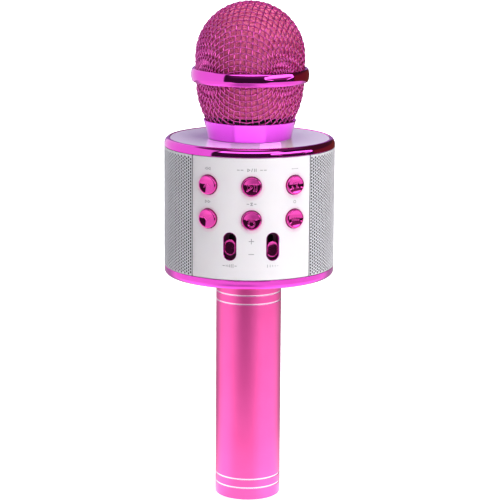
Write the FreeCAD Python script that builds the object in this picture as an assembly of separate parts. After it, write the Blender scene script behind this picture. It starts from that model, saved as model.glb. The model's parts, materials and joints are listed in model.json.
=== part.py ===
import FreeCAD, Part
import math
import os
from FreeCAD import Vector

# Hand-held karaoke microphone with speakers in its drum. Millimetres, +Z up through the head.
# The origin is the middle of the handle's flat bottom face, and the button panel faces -Y.
# Azimuth is the angle about Z away from -Y, positive towards +X.

# Handle
HANDLE_R = 15.5
HANDLE_WALL = 1.5
HANDLE_TOP = 110.3
HANDLE_EDGE = 0.9
GROOVE_HEIGHTS = (5.95, 10.2, 95.65, 99.85)
GROOVE_WIDTH = 0.8
GROOVE_DEPTH = 0.2
CAP_DEPTH = 6.0
BATTERY_R = 9.2
BATTERY_LENGTH = 65.2
BATTERY_BOTTOM = 22.0
PAD_HEIGHT = 10.0

# Drum: everything between the handle and the head
DRUM_R = 40.0
DRUM_BOTTOM = 108.1
SHELL_WALL = 2.0
BAND_LOW = 112.7
BAND_HIGH = 168.8
SEAM = 0.2
PANEL_HALF_ANGLE = 42.0
GRILLE_WALL = 0.5
LINER_WALL = 0.4
LOWER_EDGE_R = 3.0
TOP_FACE = 172.7
TOP_COVER_R = 37.4
BEZEL_SHOULDER = 170.4
BEZEL_CREST = 172.95
PLATE_R = 37.8
PLATE_WALL = 1.8
PILLAR_R = 2.5
PILLAR_AZIMUTHS = (46.0, 134.0, 226.0, 314.0)

# Buttons
BUTTON_R = 4.4
BUTTON_HOLE_R = 4.65
BUTTON_FLANGE_R = 5.5
BUTTON_PROUD = 1.2
BUTTON_EDGE = 0.6
BUTTON_DISH = 0.5
BUTTON_COLUMNS = (-29.5, 0.0, 29.5)
BUTTON_ROWS = (156.0, 140.5)
BUTTON_NAMES = (
    ("button_previous", "button_play", "button_music"),
    ("button_next", "button_mic", "button_record"),
)
SWITCH_SIZE = 6.0
SWITCH_DEPTH = 3.5
PLUNGER_R = 1.75
PLUNGER_TIP = 0.8
WELL_R = 1.85
WELL_DEPTH = 1.2

# Slide controls
SLIDER_AZIMUTH = 14.2
SLIDER_Z = 128.2
SLOT_WIDTH = 5.6
SLOT_LENGTH = 12.5
SLOT_DEPTH = 3.7
TRIM_WALL = 0.3
TRIM_FLOOR = 0.8
KNOB_WIDTH = 5.1
KNOB_LENGTH = 7.3
KNOB_SUNK = 0.6
KNOB_REST = {"left_slider_knob": -0.45, "right_slider_knob": -1.3}
POT_WIDTH = 8.0
POT_LENGTH = 20.0
POT_DEPTH = 6.0
LEVER_WIDTH = 1.6

# Circuit boards
BOARD_FRONT = 25.5
BOARD_WALL = 1.6
BOARD_HALF_WIDTH = 22.0
BOARD_LOW = 116.0
BOARD_HIGH = 166.0
PORT_BOARD_FACE = 24.6
PORT_BOARD_HALF_WIDTH = 18.0
FRONT_POSTS = ((-19.5, 118.5), (19.5, 118.5), (-19.5, 164.2), (19.5, 164.2))
REAR_POSTS = ((-15.5, 118.5), (15.5, 118.5), (-15.5, 163.0), (15.5, 163.0))
POST_R = 1.8
SMALL_SCREW_R = 0.85
SMALL_HEAD_R = 1.7

# Sockets in the rear panel
SWITCH_Z = 156.0
POWER_TRAVEL = 3.0
POWER_KNOB_WIDTH = 4.0
POWER_KNOB_HEIGHT = 3.2
USB_Z = 143.0
CARD_Z = 131.5
LOW_PORT_Z = 121.5
JACK_X = -9.5
CHARGE_X = 9.0
SOCKET_END = 37.9
JACK_BORE_R = 1.8
JACK_NOSE_R = 3.0
LED_X = 9.0
LED_R = 1.0

# Loudspeakers, one facing each side grille
SPEAKER_Z = 140.75
SPEAKER_FLANGE_R = 20.0
BAFFLE_FACE = 30.0
BAFFLE_WALL = 2.0
BASKET_R = 16.2
BASKET_BACK = 19.0
BASKET_BACK_R = 9.2
MAGNET_R = 11.0
MAGNET_WALL = 5.5
COIL_R = 7.0
COIL_WALL = 0.6
CONE_R = 14.4
SURROUND_R = 17.4
CONE_LIFT = 0.7
SPEAKER_SCREW_RING = 18.7

# Head that screws onto the neck
NECK_R = 16.0
NECK_BORE = 13.5
NECK_TOP = 187.0
NECK_FLANGE_R = 21.5
RUNNING_GAP = 0.06
SEAL_R = 18.4
SEAL_HEIGHT = 0.6
COLLAR_LOW_R = 19.6
COLLAR_HIGH_R = 21.75
COLLAR_TOP = 181.2
COLLAR_SEAT = 179.6
INSERT_R = 18.0
MESH_WALL = 0.6
BASKET_ARC_R = 37.5
BASKET_MOUTH_R = 25.3
BASKET_MOUTH_Z = 199.0
BAND_BOTTOM = 199.1
BAND_TOP = 205.3
BAND_R = 27.6
BAND_EDGE_R = 27.1
BAND_CHAMFER = 0.35
DOME_R = 25.7
DOME_Z = 210.8
FOAM_R = 24.5
FOAM_HOLLOW_R = 20.0
FOAM_BOTTOM = 183.0
FOAM_BORE = 16.6
CAPSULE_R = 7.95
CAPSULE_SEAT = 186.0
CAPSULE_TOP = 197.5

# Other fasteners and leads
COVER_SCREW_RING = 28.0
COVER_SCREW_R = 1.25
COVER_HEAD_R = 2.6
ADAPTER_SCREW_RING = 17.0
NECK_SCREW_RING = 18.6
LEAD_R = 0.7


# ---- Basic shapes ----

def at(r, z):
    return Vector(r, 0, z)


def line(a, b):
    return Part.LineSegment(at(*a), at(*b)).toShape()


def arc(a, middle, b):
    return Part.Arc(at(*a), at(*middle), at(*b)).toShape()


def lathe(*edges):
    """Solid of revolution about Z of a closed profile in (radius, height)."""
    wire = Part.Wire(Part.__sortEdges__(list(edges)))
    return Part.Face(wire).revolve(Vector(0, 0, 0), Vector(0, 0, 1), 360)


def crown_arc(rim_r, rim_z, top_z):
    """Shallow spherical arc from a rim to the axis, domed or dished."""
    rise = top_z - rim_z
    radius = (rim_r ** 2 + rise ** 2) / (2 * rise)
    half = math.asin(rim_r / radius) / 2
    middle = (radius * math.sin(half), top_z - radius * (1 - math.cos(half)))
    return arc((rim_r, rim_z), middle, (0, top_z))


def edge_round(r, z, radius):
    """Quarter-round from a wall at r to a top face, starting at height z."""
    corner = radius * (1 - math.sqrt(0.5))
    return arc((r, z), (r - corner, z + radius - corner), (r - radius, z + radius))


def turned(*points):
    """Solid of revolution of a straight-sided profile."""
    closed = list(points) + [points[0]]
    return lathe(*[line(a, b) for a, b in zip(closed, closed[1:])])


def disc(r, low, high, x=0.0, y=0.0):
    return Part.makeCylinder(r, high - low, Vector(x, y, low))


def tube(r_out, r_in, low, high):
    return disc(r_out, low, high).cut(disc(r_in, low - 1, high + 1))


def rod(r, start, end):
    """Cylinder from one point to another."""
    span = Vector(*end) - Vector(*start)
    return Part.makeCylinder(r, span.Length, Vector(*start), span)


def block(x, y, z):
    """Box between (low, high) pairs."""
    return Part.makeBox(x[1] - x[0], y[1] - y[0], z[1] - z[0], Vector(x[0], y[0], z[0]))


def spin(shape, azimuth):
    """Turns a shape built at azimuth 0 about Z to its azimuth."""
    turned_shape = shape.copy()
    turned_shape.rotate(Vector(0, 0, 0), Vector(0, 0, 1), azimuth)
    return turned_shape


def shift(shape, x=0.0, y=0.0, z=0.0):
    moved = shape.copy()
    moved.translate(Vector(x, y, z))
    return moved


def sector(r_out, r_in, low, high, start, end):
    """Part of a tube wall between two azimuths."""
    wedge = Part.makeCylinder(r_out, high - low, at(0, low), Vector(0, 0, 1), end - start)
    return spin(wedge.cut(disc(r_in, low - 1, high + 1)), start - 90)


def face_outwards(shape, azimuth, z):
    """Lays a shape made about Z so that its height becomes distance from the mic's axis."""
    laid = shape.copy()
    laid.rotate(Vector(0, 0, 0), Vector(1, 0, 0), 90)
    return spin(shift(laid, z=z), azimuth)


def stadium(width, length, near, far):
    """Upright slot shape at azimuth 0, from one distance from the axis to another."""
    r = width / 2
    half = length / 2 - r
    body = block((-r, r), (-far, -near), (-half, half))
    ends = [rod(r, (0, -far, side * half), (0, -near, side * half)) for side in (-1, 1)]
    return body.fuse(ends).removeSplitter()


def round_lead(points):
    """Insulated wire through the given points."""
    curve = Part.BSplineCurve()
    curve.interpolate([Vector(*p) for p in points])
    path = Part.Wire(curve.toShape())
    start = Vector(*points[0])
    section = Part.Wire(Part.makeCircle(LEAD_R, start, curve.tangent(curve.FirstParameter)[0]))
    return path.makePipeShell([section], True, False)


def around(count, ring, azimuth=0.0):
    """Evenly spaced points on a circle."""
    angles = [math.radians(azimuth + 360.0 * i / count) for i in range(count)]
    return [(ring * math.sin(a), -ring * math.cos(a)) for a in angles]


def screw(x, y, head_low, head_high, tip, head_r, shank_r):
    """Upright screw: the head between two heights and a shank to the tip."""
    shank_start = head_low if tip < head_low else head_high
    head = disc(head_r, head_low, head_high, x, y)
    shank = disc(shank_r, min(shank_start, tip), max(shank_start, tip), x, y)
    return head.fuse(shank).removeSplitter()


# ---- Handle ----

def handle_tube():
    inner = HANDLE_R - HANDLE_WALL
    corner = HANDLE_EDGE * (1 - math.sqrt(0.5))
    shell = lathe(
        line((inner, 0), (HANDLE_R - HANDLE_EDGE, 0)),
        arc((HANDLE_R - HANDLE_EDGE, 0), (HANDLE_R - corner, corner), (HANDLE_R, HANDLE_EDGE)),
        line((HANDLE_R, HANDLE_EDGE), (HANDLE_R, HANDLE_TOP)),
        line((HANDLE_R, HANDLE_TOP), (inner, HANDLE_TOP)),
        line((inner, HANDLE_TOP), (inner, 0)),
    )
    half = GROOVE_WIDTH / 2
    for z in GROOVE_HEIGHTS:
        shell = shell.cut(tube(HANDLE_R + 1, HANDLE_R - GROOVE_DEPTH, z - half, z + half))
    return shell


def end_cap():
    r = HANDLE_R - HANDLE_WALL
    floor = 2.0
    return disc(r, 0, CAP_DEPTH).cut(disc(r - SHELL_WALL, floor, CAP_DEPTH + 1))


def battery():
    top = BATTERY_BOTTOM + BATTERY_LENGTH
    button_r = 3.0
    button_height = 1.2
    cell = disc(BATTERY_R, BATTERY_BOTTOM, top - button_height)
    return cell.fuse(disc(button_r, top - button_height - 1, top)).removeSplitter()


def battery_pads():
    inner = HANDLE_R - HANDLE_WALL - SEAM
    first = BATTERY_BOTTOM + 6
    second = BATTERY_BOTTOM + BATTERY_LENGTH - 6 - PAD_HEIGHT
    return [tube(inner, BATTERY_R + SEAM / 2, low, low + PAD_HEIGHT) for low in (first, second)]


def handle_adapter():
    spigot_r = HANDLE_R - HANDLE_WALL - 0.05
    bore = 10.0
    spigot_bottom = 94.0
    plate_top = HANDLE_TOP + SHELL_WALL
    flange_r = 19.5
    body = turned(
        (bore, spigot_bottom),
        (spigot_r, spigot_bottom),
        (spigot_r, plate_top),
        (flange_r, plate_top),
        (flange_r, plate_top + SHELL_WALL),
        (bore, plate_top + SHELL_WALL),
    )
    for x, y in around(3, ADAPTER_SCREW_RING):
        body = body.cut(disc(SMALL_SCREW_R + 0.2, plate_top - 1, plate_top + SHELL_WALL + 1, x, y))
    return body


def adapter_screws():
    flange_top = HANDLE_TOP + 2 * SHELL_WALL
    return [
        screw(x, y, flange_top, flange_top + 1.2, HANDLE_TOP + 0.3, SMALL_HEAD_R, SMALL_SCREW_R)
        for x, y in around(3, ADAPTER_SCREW_RING)
    ]


# ---- Drum casing ----

def bottom_cover():
    inner = DRUM_R - SHELL_WALL
    floor = HANDLE_TOP
    hole = HANDLE_R + 0.1
    rim = BAND_LOW - SEAM
    flat = DRUM_R - LOWER_EDGE_R
    corner = LOWER_EDGE_R * (1 - math.sqrt(0.5))
    wall_start = DRUM_BOTTOM + LOWER_EDGE_R
    dish = lathe(
        line((hole, DRUM_BOTTOM), (flat, DRUM_BOTTOM)),
        arc((flat, DRUM_BOTTOM), (DRUM_R - corner, DRUM_BOTTOM + corner), (DRUM_R, wall_start)),
        line((DRUM_R, wall_start), (DRUM_R, rim)),
        line((DRUM_R, rim), (inner, rim)),
        line((inner, rim), (inner, floor)),
        line((inner, floor), (hole, floor)),
        line((hole, floor), (hole, DRUM_BOTTOM)),
    )
    for x, y in around(4, COVER_SCREW_RING, 45):
        dish = dish.cut(disc(COVER_HEAD_R + 0.2, DRUM_BOTTOM - 1, DRUM_BOTTOM + 1.4, x, y))
        dish = dish.cut(disc(COVER_SCREW_R + 0.25, DRUM_BOTTOM, floor + 1, x, y))
    return dish


def cover_screws():
    low = DRUM_BOTTOM + 0.2
    high = DRUM_BOTTOM + 1.4
    tip = HANDLE_TOP + SHELL_WALL
    slot = block((-0.35, 0.35), (-COVER_HEAD_R, COVER_HEAD_R), (low - 1, low + 0.6))
    cross = slot.fuse(spin(slot, 90))
    return [
        screw(x, y, low, high, tip, COVER_HEAD_R, COVER_SCREW_R).cut(
            shift(cross.common(disc(1.7, low - 1, high)), x, y)
        )
        for x, y in around(4, COVER_SCREW_RING, 45)
    ]


def panel_blank(middle):
    """Curved panel over the front or the back of the drum."""
    start = middle - PANEL_HALF_ANGLE
    return sector(DRUM_R, DRUM_R - SHELL_WALL, BAND_LOW, BAND_HIGH, start, start + 2 * PANEL_HALF_ANGLE)


def panel_posts(places, board_face, side):
    """Board posts moulded on a panel's inside, each with a pilot hole. side is -1 at the front."""
    posts = []
    for x, z in places:
        reach = math.sqrt((DRUM_R - SHELL_WALL / 2) ** 2 - x * x)
        post = rod(POST_R, (x, side * board_face, z), (x, side * reach, z))
        pilot = rod(SMALL_SCREW_R + 0.05, (x, side * (board_face - 1), z), (x, side * (board_face + 5), z))
        posts.append(post.cut(pilot))
    return posts


def front_panel():
    panel = panel_blank(0).fuse(panel_posts(FRONT_POSTS, BOARD_FRONT, -1))
    for azimuth in BUTTON_COLUMNS:
        for z in BUTTON_ROWS:
            hole = rod(BUTTON_HOLE_R, (0, -DRUM_R + 4, z), (0, -DRUM_R - 2, z))
            panel = panel.cut(spin(hole, azimuth))
    slot = stadium(SLOT_WIDTH + 2 * TRIM_WALL, SLOT_LENGTH + 2 * TRIM_WALL, DRUM_R - 4, DRUM_R + 2)
    for azimuth in (-SLIDER_AZIMUTH, SLIDER_AZIMUTH):
        panel = panel.cut(spin(shift(slot, z=SLIDER_Z), azimuth))
    return panel.removeSplitter()


def rear_panel():
    panel = panel_blank(180).fuse(panel_posts(REAR_POSTS, PORT_BOARD_FACE, 1))
    through = (PORT_BOARD_FACE + 6, DRUM_R + 2)
    slot_half = (POWER_KNOB_WIDTH + POWER_TRAVEL + 0.2) / 2
    knob_half = POWER_KNOB_HEIGHT / 2 + 0.15
    cuts = [
        block((-slot_half, slot_half), through, (SWITCH_Z - knob_half, SWITCH_Z + knob_half)),
        block((-6.75, 6.75), through, (USB_Z - 3.0, USB_Z + 3.0)),
        block((-6.1, 6.1), through, (CARD_Z - 0.9, CARD_Z + 0.9)),
        block((CHARGE_X - 4.1, CHARGE_X + 4.1), through, (LOW_PORT_Z - 1.65, LOW_PORT_Z + 1.65)),
        rod(JACK_NOSE_R + 0.1, (JACK_X, through[0], LOW_PORT_Z), (JACK_X, through[1], LOW_PORT_Z)),
        rod(LED_R + 0.05, (LED_X, through[0], SWITCH_Z), (LED_X, through[1], SWITCH_Z)),
    ]
    return panel.cut(Part.makeCompound(cuts)).removeSplitter()


def side_grille(middle):
    gap = PANEL_HALF_ANGLE + 0.3
    start = middle - 90 + gap
    return sector(DRUM_R, DRUM_R - GRILLE_WALL, BAND_LOW, BAND_HIGH, start, start + 180 - 2 * gap)


def grille_liners():
    outer = DRUM_R - GRILLE_WALL - 0.1
    half = 46.0
    return [
        sector(outer, outer - LINER_WALL, BAND_LOW + SEAM, BAND_HIGH - SEAM, middle - half, middle + half)
        for middle in (-90, 90)
    ]


def top_bezel():
    inner = DRUM_R - 2.5
    start = BAND_HIGH + SEAM
    seat = TOP_FACE - SHELL_WALL
    return lathe(
        line((DRUM_R - SHELL_WALL, start), (DRUM_R, start)),
        line((DRUM_R, start), (DRUM_R, BEZEL_SHOULDER)),
        arc((DRUM_R, BEZEL_SHOULDER), (39.46, 171.98), (38.0, BEZEL_CREST)),
        arc((38.0, BEZEL_CREST), (37.7, 172.9), (inner, 172.75)),
        line((inner, 172.75), (inner, seat)),
        line((inner, seat), (DRUM_R - SHELL_WALL, seat)),
        line((DRUM_R - SHELL_WALL, seat), (DRUM_R - SHELL_WALL, start)),
    )


def top_cover():
    return tube(TOP_COVER_R, NECK_R + 0.2, TOP_FACE - SHELL_WALL, TOP_FACE)


def drum_frame():
    low_plate = tube(PLATE_R, HANDLE_R - 0.9, HANDLE_TOP, HANDLE_TOP + SHELL_WALL)
    high_start = TOP_FACE - SHELL_WALL - PLATE_WALL
    high_plate = tube(PLATE_R, NECK_R + 0.1, high_start, high_start + PLATE_WALL)
    pillar_ring = DRUM_R - SHELL_WALL - PILLAR_R - 0.1
    span = (HANDLE_TOP + 1, high_start + 1)
    walls = []
    for azimuth in PILLAR_AZIMUTHS:
        a = math.radians(azimuth)
        walls.append(disc(PILLAR_R, *span, pillar_ring * math.sin(a), -pillar_ring * math.cos(a)))
    for side in (-1, 1):
        x = sorted((side * BAFFLE_FACE, side * (BAFFLE_FACE - BAFFLE_WALL)))
        baffle = block(x, (-20.5, 20.5), span)
        opening = rod(BASKET_R + 0.2, (side * 20, 0, SPEAKER_Z), (side * 40, 0, SPEAKER_Z))
        walls.append(baffle.cut(opening))
    frame = low_plate.fuse([high_plate] + walls).removeSplitter()
    for x, y in around(4, COVER_SCREW_RING, 45):
        frame = frame.cut(disc(COVER_SCREW_R + 0.05, HANDLE_TOP - 1, HANDLE_TOP + 3, x, y))
    for x, y in around(3, ADAPTER_SCREW_RING):
        frame = frame.cut(disc(SMALL_SCREW_R + 0.05, HANDLE_TOP - 1, HANDLE_TOP + 3, x, y))
    for x, y in around(3, NECK_SCREW_RING):
        frame = frame.cut(disc(SMALL_SCREW_R + 0.05, high_start - 1, high_start + 3, x, y))
    for x, z in speaker_screw_places():
        for side in (-1, 1):
            pilot = rod(0.75, (side * 20, x, z), (side * 40, x, z))
            frame = frame.cut(pilot)
    return frame


# ---- Front controls ----

def button(azimuth, z):
    """Dished cap with its stem, and the switch plunger that it pushes."""
    rim = DRUM_R + BUTTON_PROUD
    shoulder = rim - BUTTON_EDGE
    dish = rim - BUTTON_DISH
    flange = (36.5, 37.3)
    edges = [
        line((0, flange[0]), (BUTTON_FLANGE_R, flange[0])),
        line((BUTTON_FLANGE_R, flange[0]), (BUTTON_FLANGE_R, flange[1])),
        line((BUTTON_FLANGE_R, flange[1]), (BUTTON_R, flange[1])),
        line((BUTTON_R, flange[1]), (BUTTON_R, shoulder)),
        edge_round(BUTTON_R, shoulder, BUTTON_EDGE),
        crown_arc(BUTTON_R - BUTTON_EDGE, rim, dish),
        line((0, dish), (0, flange[0])),
    ]
    cap = face_outwards(lathe(*edges), azimuth, z)
    tip = BOARD_FRONT + SWITCH_DEPTH + PLUNGER_TIP
    a = math.radians(azimuth)
    x = flange[0] * math.sin(a)
    root = (flange[0] + 0.5) * math.cos(a)
    stem = rod(PLUNGER_R, (x, -root, z), (x, -tip, z))
    plunger = rod(PLUNGER_R, (x, -tip, z), (x, -tip + PLUNGER_TIP + 0.7, z))
    return [cap.fuse(stem).removeSplitter(), plunger]


def button_switches():
    half = SWITCH_SIZE / 2
    bases = []
    for azimuth in BUTTON_COLUMNS:
        x = 36.5 * math.sin(math.radians(azimuth))
        for z in BUTTON_ROWS:
            face = BOARD_FRONT + SWITCH_DEPTH
            base = block((x - half, x + half), (-face, -BOARD_FRONT), (z - half, z + half))
            well = rod(WELL_R, (x, -face - 1, z), (x, -face + WELL_DEPTH, z))
            bases.append(base.cut(well))
    return bases


def slider_trims():
    floor = DRUM_R - SLOT_DEPTH
    outer = stadium(SLOT_WIDTH + 2 * TRIM_WALL, SLOT_LENGTH + 2 * TRIM_WALL, floor - TRIM_FLOOR, DRUM_R + 2)
    inner = stadium(SLOT_WIDTH, SLOT_LENGTH, floor, DRUM_R + 3)
    cup = outer.cut(inner)
    trims = []
    for azimuth in (-SLIDER_AZIMUTH, SLIDER_AZIMUTH):
        x = lever_x(azimuth)
        placed = spin(shift(cup, z=SLIDER_Z), azimuth).common(disc(DRUM_R, 100, 170))
        slit = block((x - 1.4, x + 1.4), (-DRUM_R, -30), (SLIDER_Z - 4.9, SLIDER_Z + 4.9))
        floor_zone = spin(block((-4, 4), (-floor, -30), (100, 170)), azimuth)
        trims.append(placed.cut(slit.common(floor_zone)))
    return trims


def lever_x(azimuth):
    """Sideways place of the slider's lever, level with the knob's middle."""
    middle = DRUM_R - SLOT_DEPTH + 0.6
    return middle * math.sin(math.radians(azimuth))


def slider_knob(name, azimuth):
    low = DRUM_R - SLOT_DEPTH + 0.2
    z = SLIDER_Z + KNOB_REST[name]
    knob = spin(shift(stadium(KNOB_WIDTH, KNOB_LENGTH, low, DRUM_R - KNOB_SUNK), z=z), azimuth)
    x = lever_x(azimuth)
    pot_face = BOARD_FRONT + POT_DEPTH
    half = LEVER_WIDTH / 2
    lever = block((x - half, x + half), (-low - 0.3, -pot_face + 2.0), (z - 1.1, z + 1.1))
    return knob.fuse(lever).removeSplitter()


def slider_pots():
    pots = []
    for azimuth in (-SLIDER_AZIMUTH, SLIDER_AZIMUTH):
        x = lever_x(azimuth)
        face = BOARD_FRONT + POT_DEPTH
        half = POT_LENGTH / 2
        body = block(
            (x - POT_WIDTH / 2, x + POT_WIDTH / 2),
            (-face, -BOARD_FRONT),
            (SLIDER_Z - half, SLIDER_Z + half - 1),
        )
        track = block((x - 1.0, x + 1.0), (-face - 1, -face + 3), (SLIDER_Z - 4.9, SLIDER_Z + 5.6))
        pots.append(body.cut(track))
    return pots


# ---- Boards and sockets ----

def board(half_width, face, side, posts):
    """Upright circuit board; face is the distance of its outward face from the axis."""
    y = sorted((side * face, side * (face - BOARD_WALL)))
    sheet = block((-half_width, half_width), y, (BOARD_LOW, BOARD_HIGH))
    for x, z in posts:
        sheet = sheet.cut(rod(SMALL_SCREW_R + 0.2, (x, y[0] - 1, z), (x, y[1] + 1, z)))
    return sheet


def board_screws():
    screws = []
    for posts, face, side in ((FRONT_POSTS, BOARD_FRONT, -1), (REAR_POSTS, PORT_BOARD_FACE, 1)):
        back = face - BOARD_WALL
        for x, z in posts:
            head = rod(SMALL_HEAD_R, (x, side * back, z), (x, side * (back - 1.2), z))
            shank = rod(SMALL_SCREW_R, (x, side * back, z), (x, side * (face + 4), z))
            screws.append(head.fuse(shank).removeSplitter())
    return screws


def board_chips():
    back = -(BOARD_FRONT - BOARD_WALL)
    processor = block((-5, 5), (back, back + 1.6), (146, 156))
    amplifier = block((-14, -8), (back, back + 1.6), (152, 158))
    coil = block((8, 13), (back, back + 3), (150, 155))
    cans = [rod(2.5, (x, back, 121.5), (x, back + 7, 121.5)) for x in (-12.5, 12.5)]
    return [processor, amplifier, coil] + cans


def board_ribbon():
    """Flat cable that hangs between the two boards."""
    start = -(BOARD_FRONT - BOARD_WALL)
    end = PORT_BOARD_FACE - BOARD_WALL
    z = 134.0
    sag = 6.0
    wall = 0.5
    half = 4.0

    def point(y, height):
        return Vector(-half, y, height)

    middle = (start + end) / 2
    low = Part.Arc(point(start, z), point(middle, z - sag), point(end, z)).toShape()
    high = Part.Arc(point(start, z + wall), point(middle, z - sag + wall), point(end, z + wall)).toShape()
    sides = [Part.LineSegment(point(y, z), point(y, z + wall)).toShape() for y in (start, end)]
    wire = Part.Wire(Part.__sortEdges__([low, high] + sides))
    return Part.Face(wire).extrude(Vector(2 * half, 0, 0))


def power_switch():
    face = PORT_BOARD_FACE
    body = block((-5, 5), (face, face + 4.5), (SWITCH_Z - 3, SWITCH_Z + 3))
    track = block((-2.4, 2.4), (face + 2.5, face + 6), (SWITCH_Z - 1.0, SWITCH_Z + 1.0))
    return body.cut(track)


def power_knob():
    """Ribbed slide cap in the rear panel, at its off end, with a leg to the switch."""
    x = -POWER_TRAVEL / 2
    half = POWER_KNOB_WIDTH / 2
    tall = POWER_KNOB_HEIGHT / 2
    cap = block((x - half, x + half), (36.6, DRUM_R + 0.7), (SWITCH_Z - tall, SWITCH_Z + tall))
    rib = 0.5
    for i in range(3):
        groove = x - 1.25 + i
        cut = block((groove, groove + rib), (DRUM_R + 0.3, DRUM_R + 2), (SWITCH_Z - 5, SWITCH_Z + 5))
        cap = cap.cut(cut)
    flange = block((x - 4.2, x + 4.2), (36.0, 36.8), (SWITCH_Z - 3, SWITCH_Z + 3))
    leg = block((x - 0.8, x + 0.8), (PORT_BOARD_FACE + 2.8, 36.2), (SWITCH_Z - 0.9, SWITCH_Z + 0.9))
    return cap.fuse([flange, leg]).removeSplitter()


def socket_shell(x, z, width, height, wall, end):
    """Open-ended sheet-metal socket on the port board."""
    w = width / 2
    h = height / 2
    face = PORT_BOARD_FACE
    shell = block((x - w, x + w), (face, end), (z - h, z + h))
    mouth = block((x - w + wall, x + w - wall), (face + 1, end + 1), (z - h + wall, z + h - wall))
    return shell.cut(mouth)


def usb_socket():
    shell = socket_shell(0, USB_Z, 13.2, 5.7, 0.35, SOCKET_END)
    tongue = block((-5.6, 5.6), (PORT_BOARD_FACE + 0.5, SOCKET_END - 2), (USB_Z + 0.2, USB_Z + 2.0))
    return shell.fuse(tongue).removeSplitter()


def charge_socket():
    shell = socket_shell(CHARGE_X, LOW_PORT_Z, 7.6, 2.8, 0.3, SOCKET_END - 0.4)
    half = 1.9
    tongue = block(
        (CHARGE_X - half, CHARGE_X + half),
        (PORT_BOARD_FACE + 0.5, SOCKET_END - 2),
        (LOW_PORT_Z + 0.1, LOW_PORT_Z + 0.7),
    )
    return shell.fuse(tongue).removeSplitter()


def card_slot():
    return socket_shell(0, CARD_Z, 14.2, 2.0, 0.4, 36.8)


def audio_jack():
    nose_start = 34.0
    body = block(
        (JACK_X - 3.0, JACK_X + 3.0),
        (PORT_BOARD_FACE, nose_start),
        (LOW_PORT_Z - 2.8, LOW_PORT_Z + 2.8),
    )
    nose = rod(JACK_NOSE_R, (JACK_X, nose_start - 1, LOW_PORT_Z), (JACK_X, SOCKET_END - 0.4, LOW_PORT_Z))
    bore = rod(JACK_BORE_R, (JACK_X, PORT_BOARD_FACE + 1, LOW_PORT_Z), (JACK_X, DRUM_R, LOW_PORT_Z))
    return body.fuse(nose).cut(bore).removeSplitter()


def charge_led():
    tip = 39.1
    pipe = rod(LED_R, (LED_X, PORT_BOARD_FACE, SWITCH_Z), (LED_X, tip, SWITCH_Z))
    foot = rod(2.0, (LED_X, PORT_BOARD_FACE, SWITCH_Z), (LED_X, PORT_BOARD_FACE + 2, SWITCH_Z))
    return pipe.fuse(foot).removeSplitter()


# ---- Loudspeakers, built facing +X and mirrored for the left side ----

def speaker_screw_places():
    reach = SPEAKER_SCREW_RING * math.sqrt(0.5)
    return [(y, SPEAKER_Z + z) for y in (-reach, reach) for z in (-reach, reach)]


def lay_along_x(shape, side):
    """Turns a shape made about Z, with height as distance from the mic's axis, to face +X or -X."""
    laid = shape.copy()
    laid.rotate(Vector(0, 0, 0), Vector(0, 1, 0), 90)
    laid = shift(laid, z=SPEAKER_Z)
    return laid if side > 0 else spin(laid, 180)


def speaker_basket(side):
    face = BAFFLE_FACE + 1.0
    wall = 0.8
    shape = turned(
        (SPEAKER_FLANGE_R, BAFFLE_FACE),
        (SPEAKER_FLANGE_R, face),
        (BASKET_R - wall, face),
        (BASKET_BACK_R - wall, BASKET_BACK + wall),
        (COIL_R + 1.0, BASKET_BACK + wall),
        (COIL_R + 1.0, BASKET_BACK),
        (BASKET_BACK_R, BASKET_BACK),
        (BASKET_R, BAFFLE_FACE),
    )
    laid = lay_along_x(shape, side)
    for y, z in speaker_screw_places():
        laid = laid.cut(rod(0.8, (side * 25, y, z), (side * 40, y, z)))
    return laid


def speaker_magnet(side):
    start = BASKET_BACK - MAGNET_WALL
    body = disc(MAGNET_R, start, BASKET_BACK)
    gap = tube(COIL_R + 0.4, COIL_R - COIL_WALL - 0.4, start + 1.5, BASKET_BACK + 1)
    return lay_along_x(body.cut(gap), side)


def speaker_cone(side):
    """Cone, surround, dust cap and voice coil, bonded into one moving piece."""
    face = BAFFLE_FACE + 1.0 + CONE_LIFT
    wall = 0.4
    apex = 25.0
    coil_in = COIL_R - COIL_WALL
    shape = lathe(
        line((coil_in, BASKET_BACK - 2.5), (COIL_R, BASKET_BACK - 2.5)),
        line((COIL_R, BASKET_BACK - 2.5), (COIL_R, apex)),
        line((COIL_R, apex), (CONE_R, face)),
        line((CONE_R, face), (SURROUND_R, face)),
        line((SURROUND_R, face), (SURROUND_R, face + wall)),
        arc((SURROUND_R, face + wall), ((SURROUND_R + CONE_R) / 2, face + 0.9), (CONE_R, face + wall)),
        line((CONE_R, face + wall), (COIL_R, apex + wall + 0.3)),
        crown_arc(COIL_R, apex + wall + 0.3, apex + 3),
        line((0, apex + 3), (0, apex + 2.5)),
        crown_arc(coil_in, apex, apex + 2.5),
        line((coil_in, apex), (coil_in, BASKET_BACK - 2.5)),
    )
    return lay_along_x(shape, side)


def speaker_screws():
    screws = []
    face = BAFFLE_FACE + 1.0
    for side in (-1, 1):
        for y, z in speaker_screw_places():
            head = rod(1.1, (side * face, y, z), (side * (face + 0.7), y, z))
            shank = rod(0.7, (side * face, y, z), (side * (BAFFLE_FACE - BAFFLE_WALL + 0.2), y, z))
            screws.append(head.fuse(shank).removeSplitter())
    return screws


# ---- Neck, capsule and head ----

def threaded_neck():
    low = TOP_FACE - SHELL_WALL - PLATE_WALL - SHELL_WALL
    body = turned(
        (NECK_BORE, low),
        (NECK_FLANGE_R, low),
        (NECK_FLANGE_R, low + SHELL_WALL),
        (NECK_R, low + SHELL_WALL),
        (NECK_R, NECK_TOP - 0.8),
        (NECK_R - 0.8, NECK_TOP),
        (NECK_BORE, NECK_TOP),
    )
    for x, y in around(3, NECK_SCREW_RING):
        body = body.cut(disc(SMALL_SCREW_R + 0.2, low - 1, low + SHELL_WALL + 1, x, y))
    return body


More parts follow.
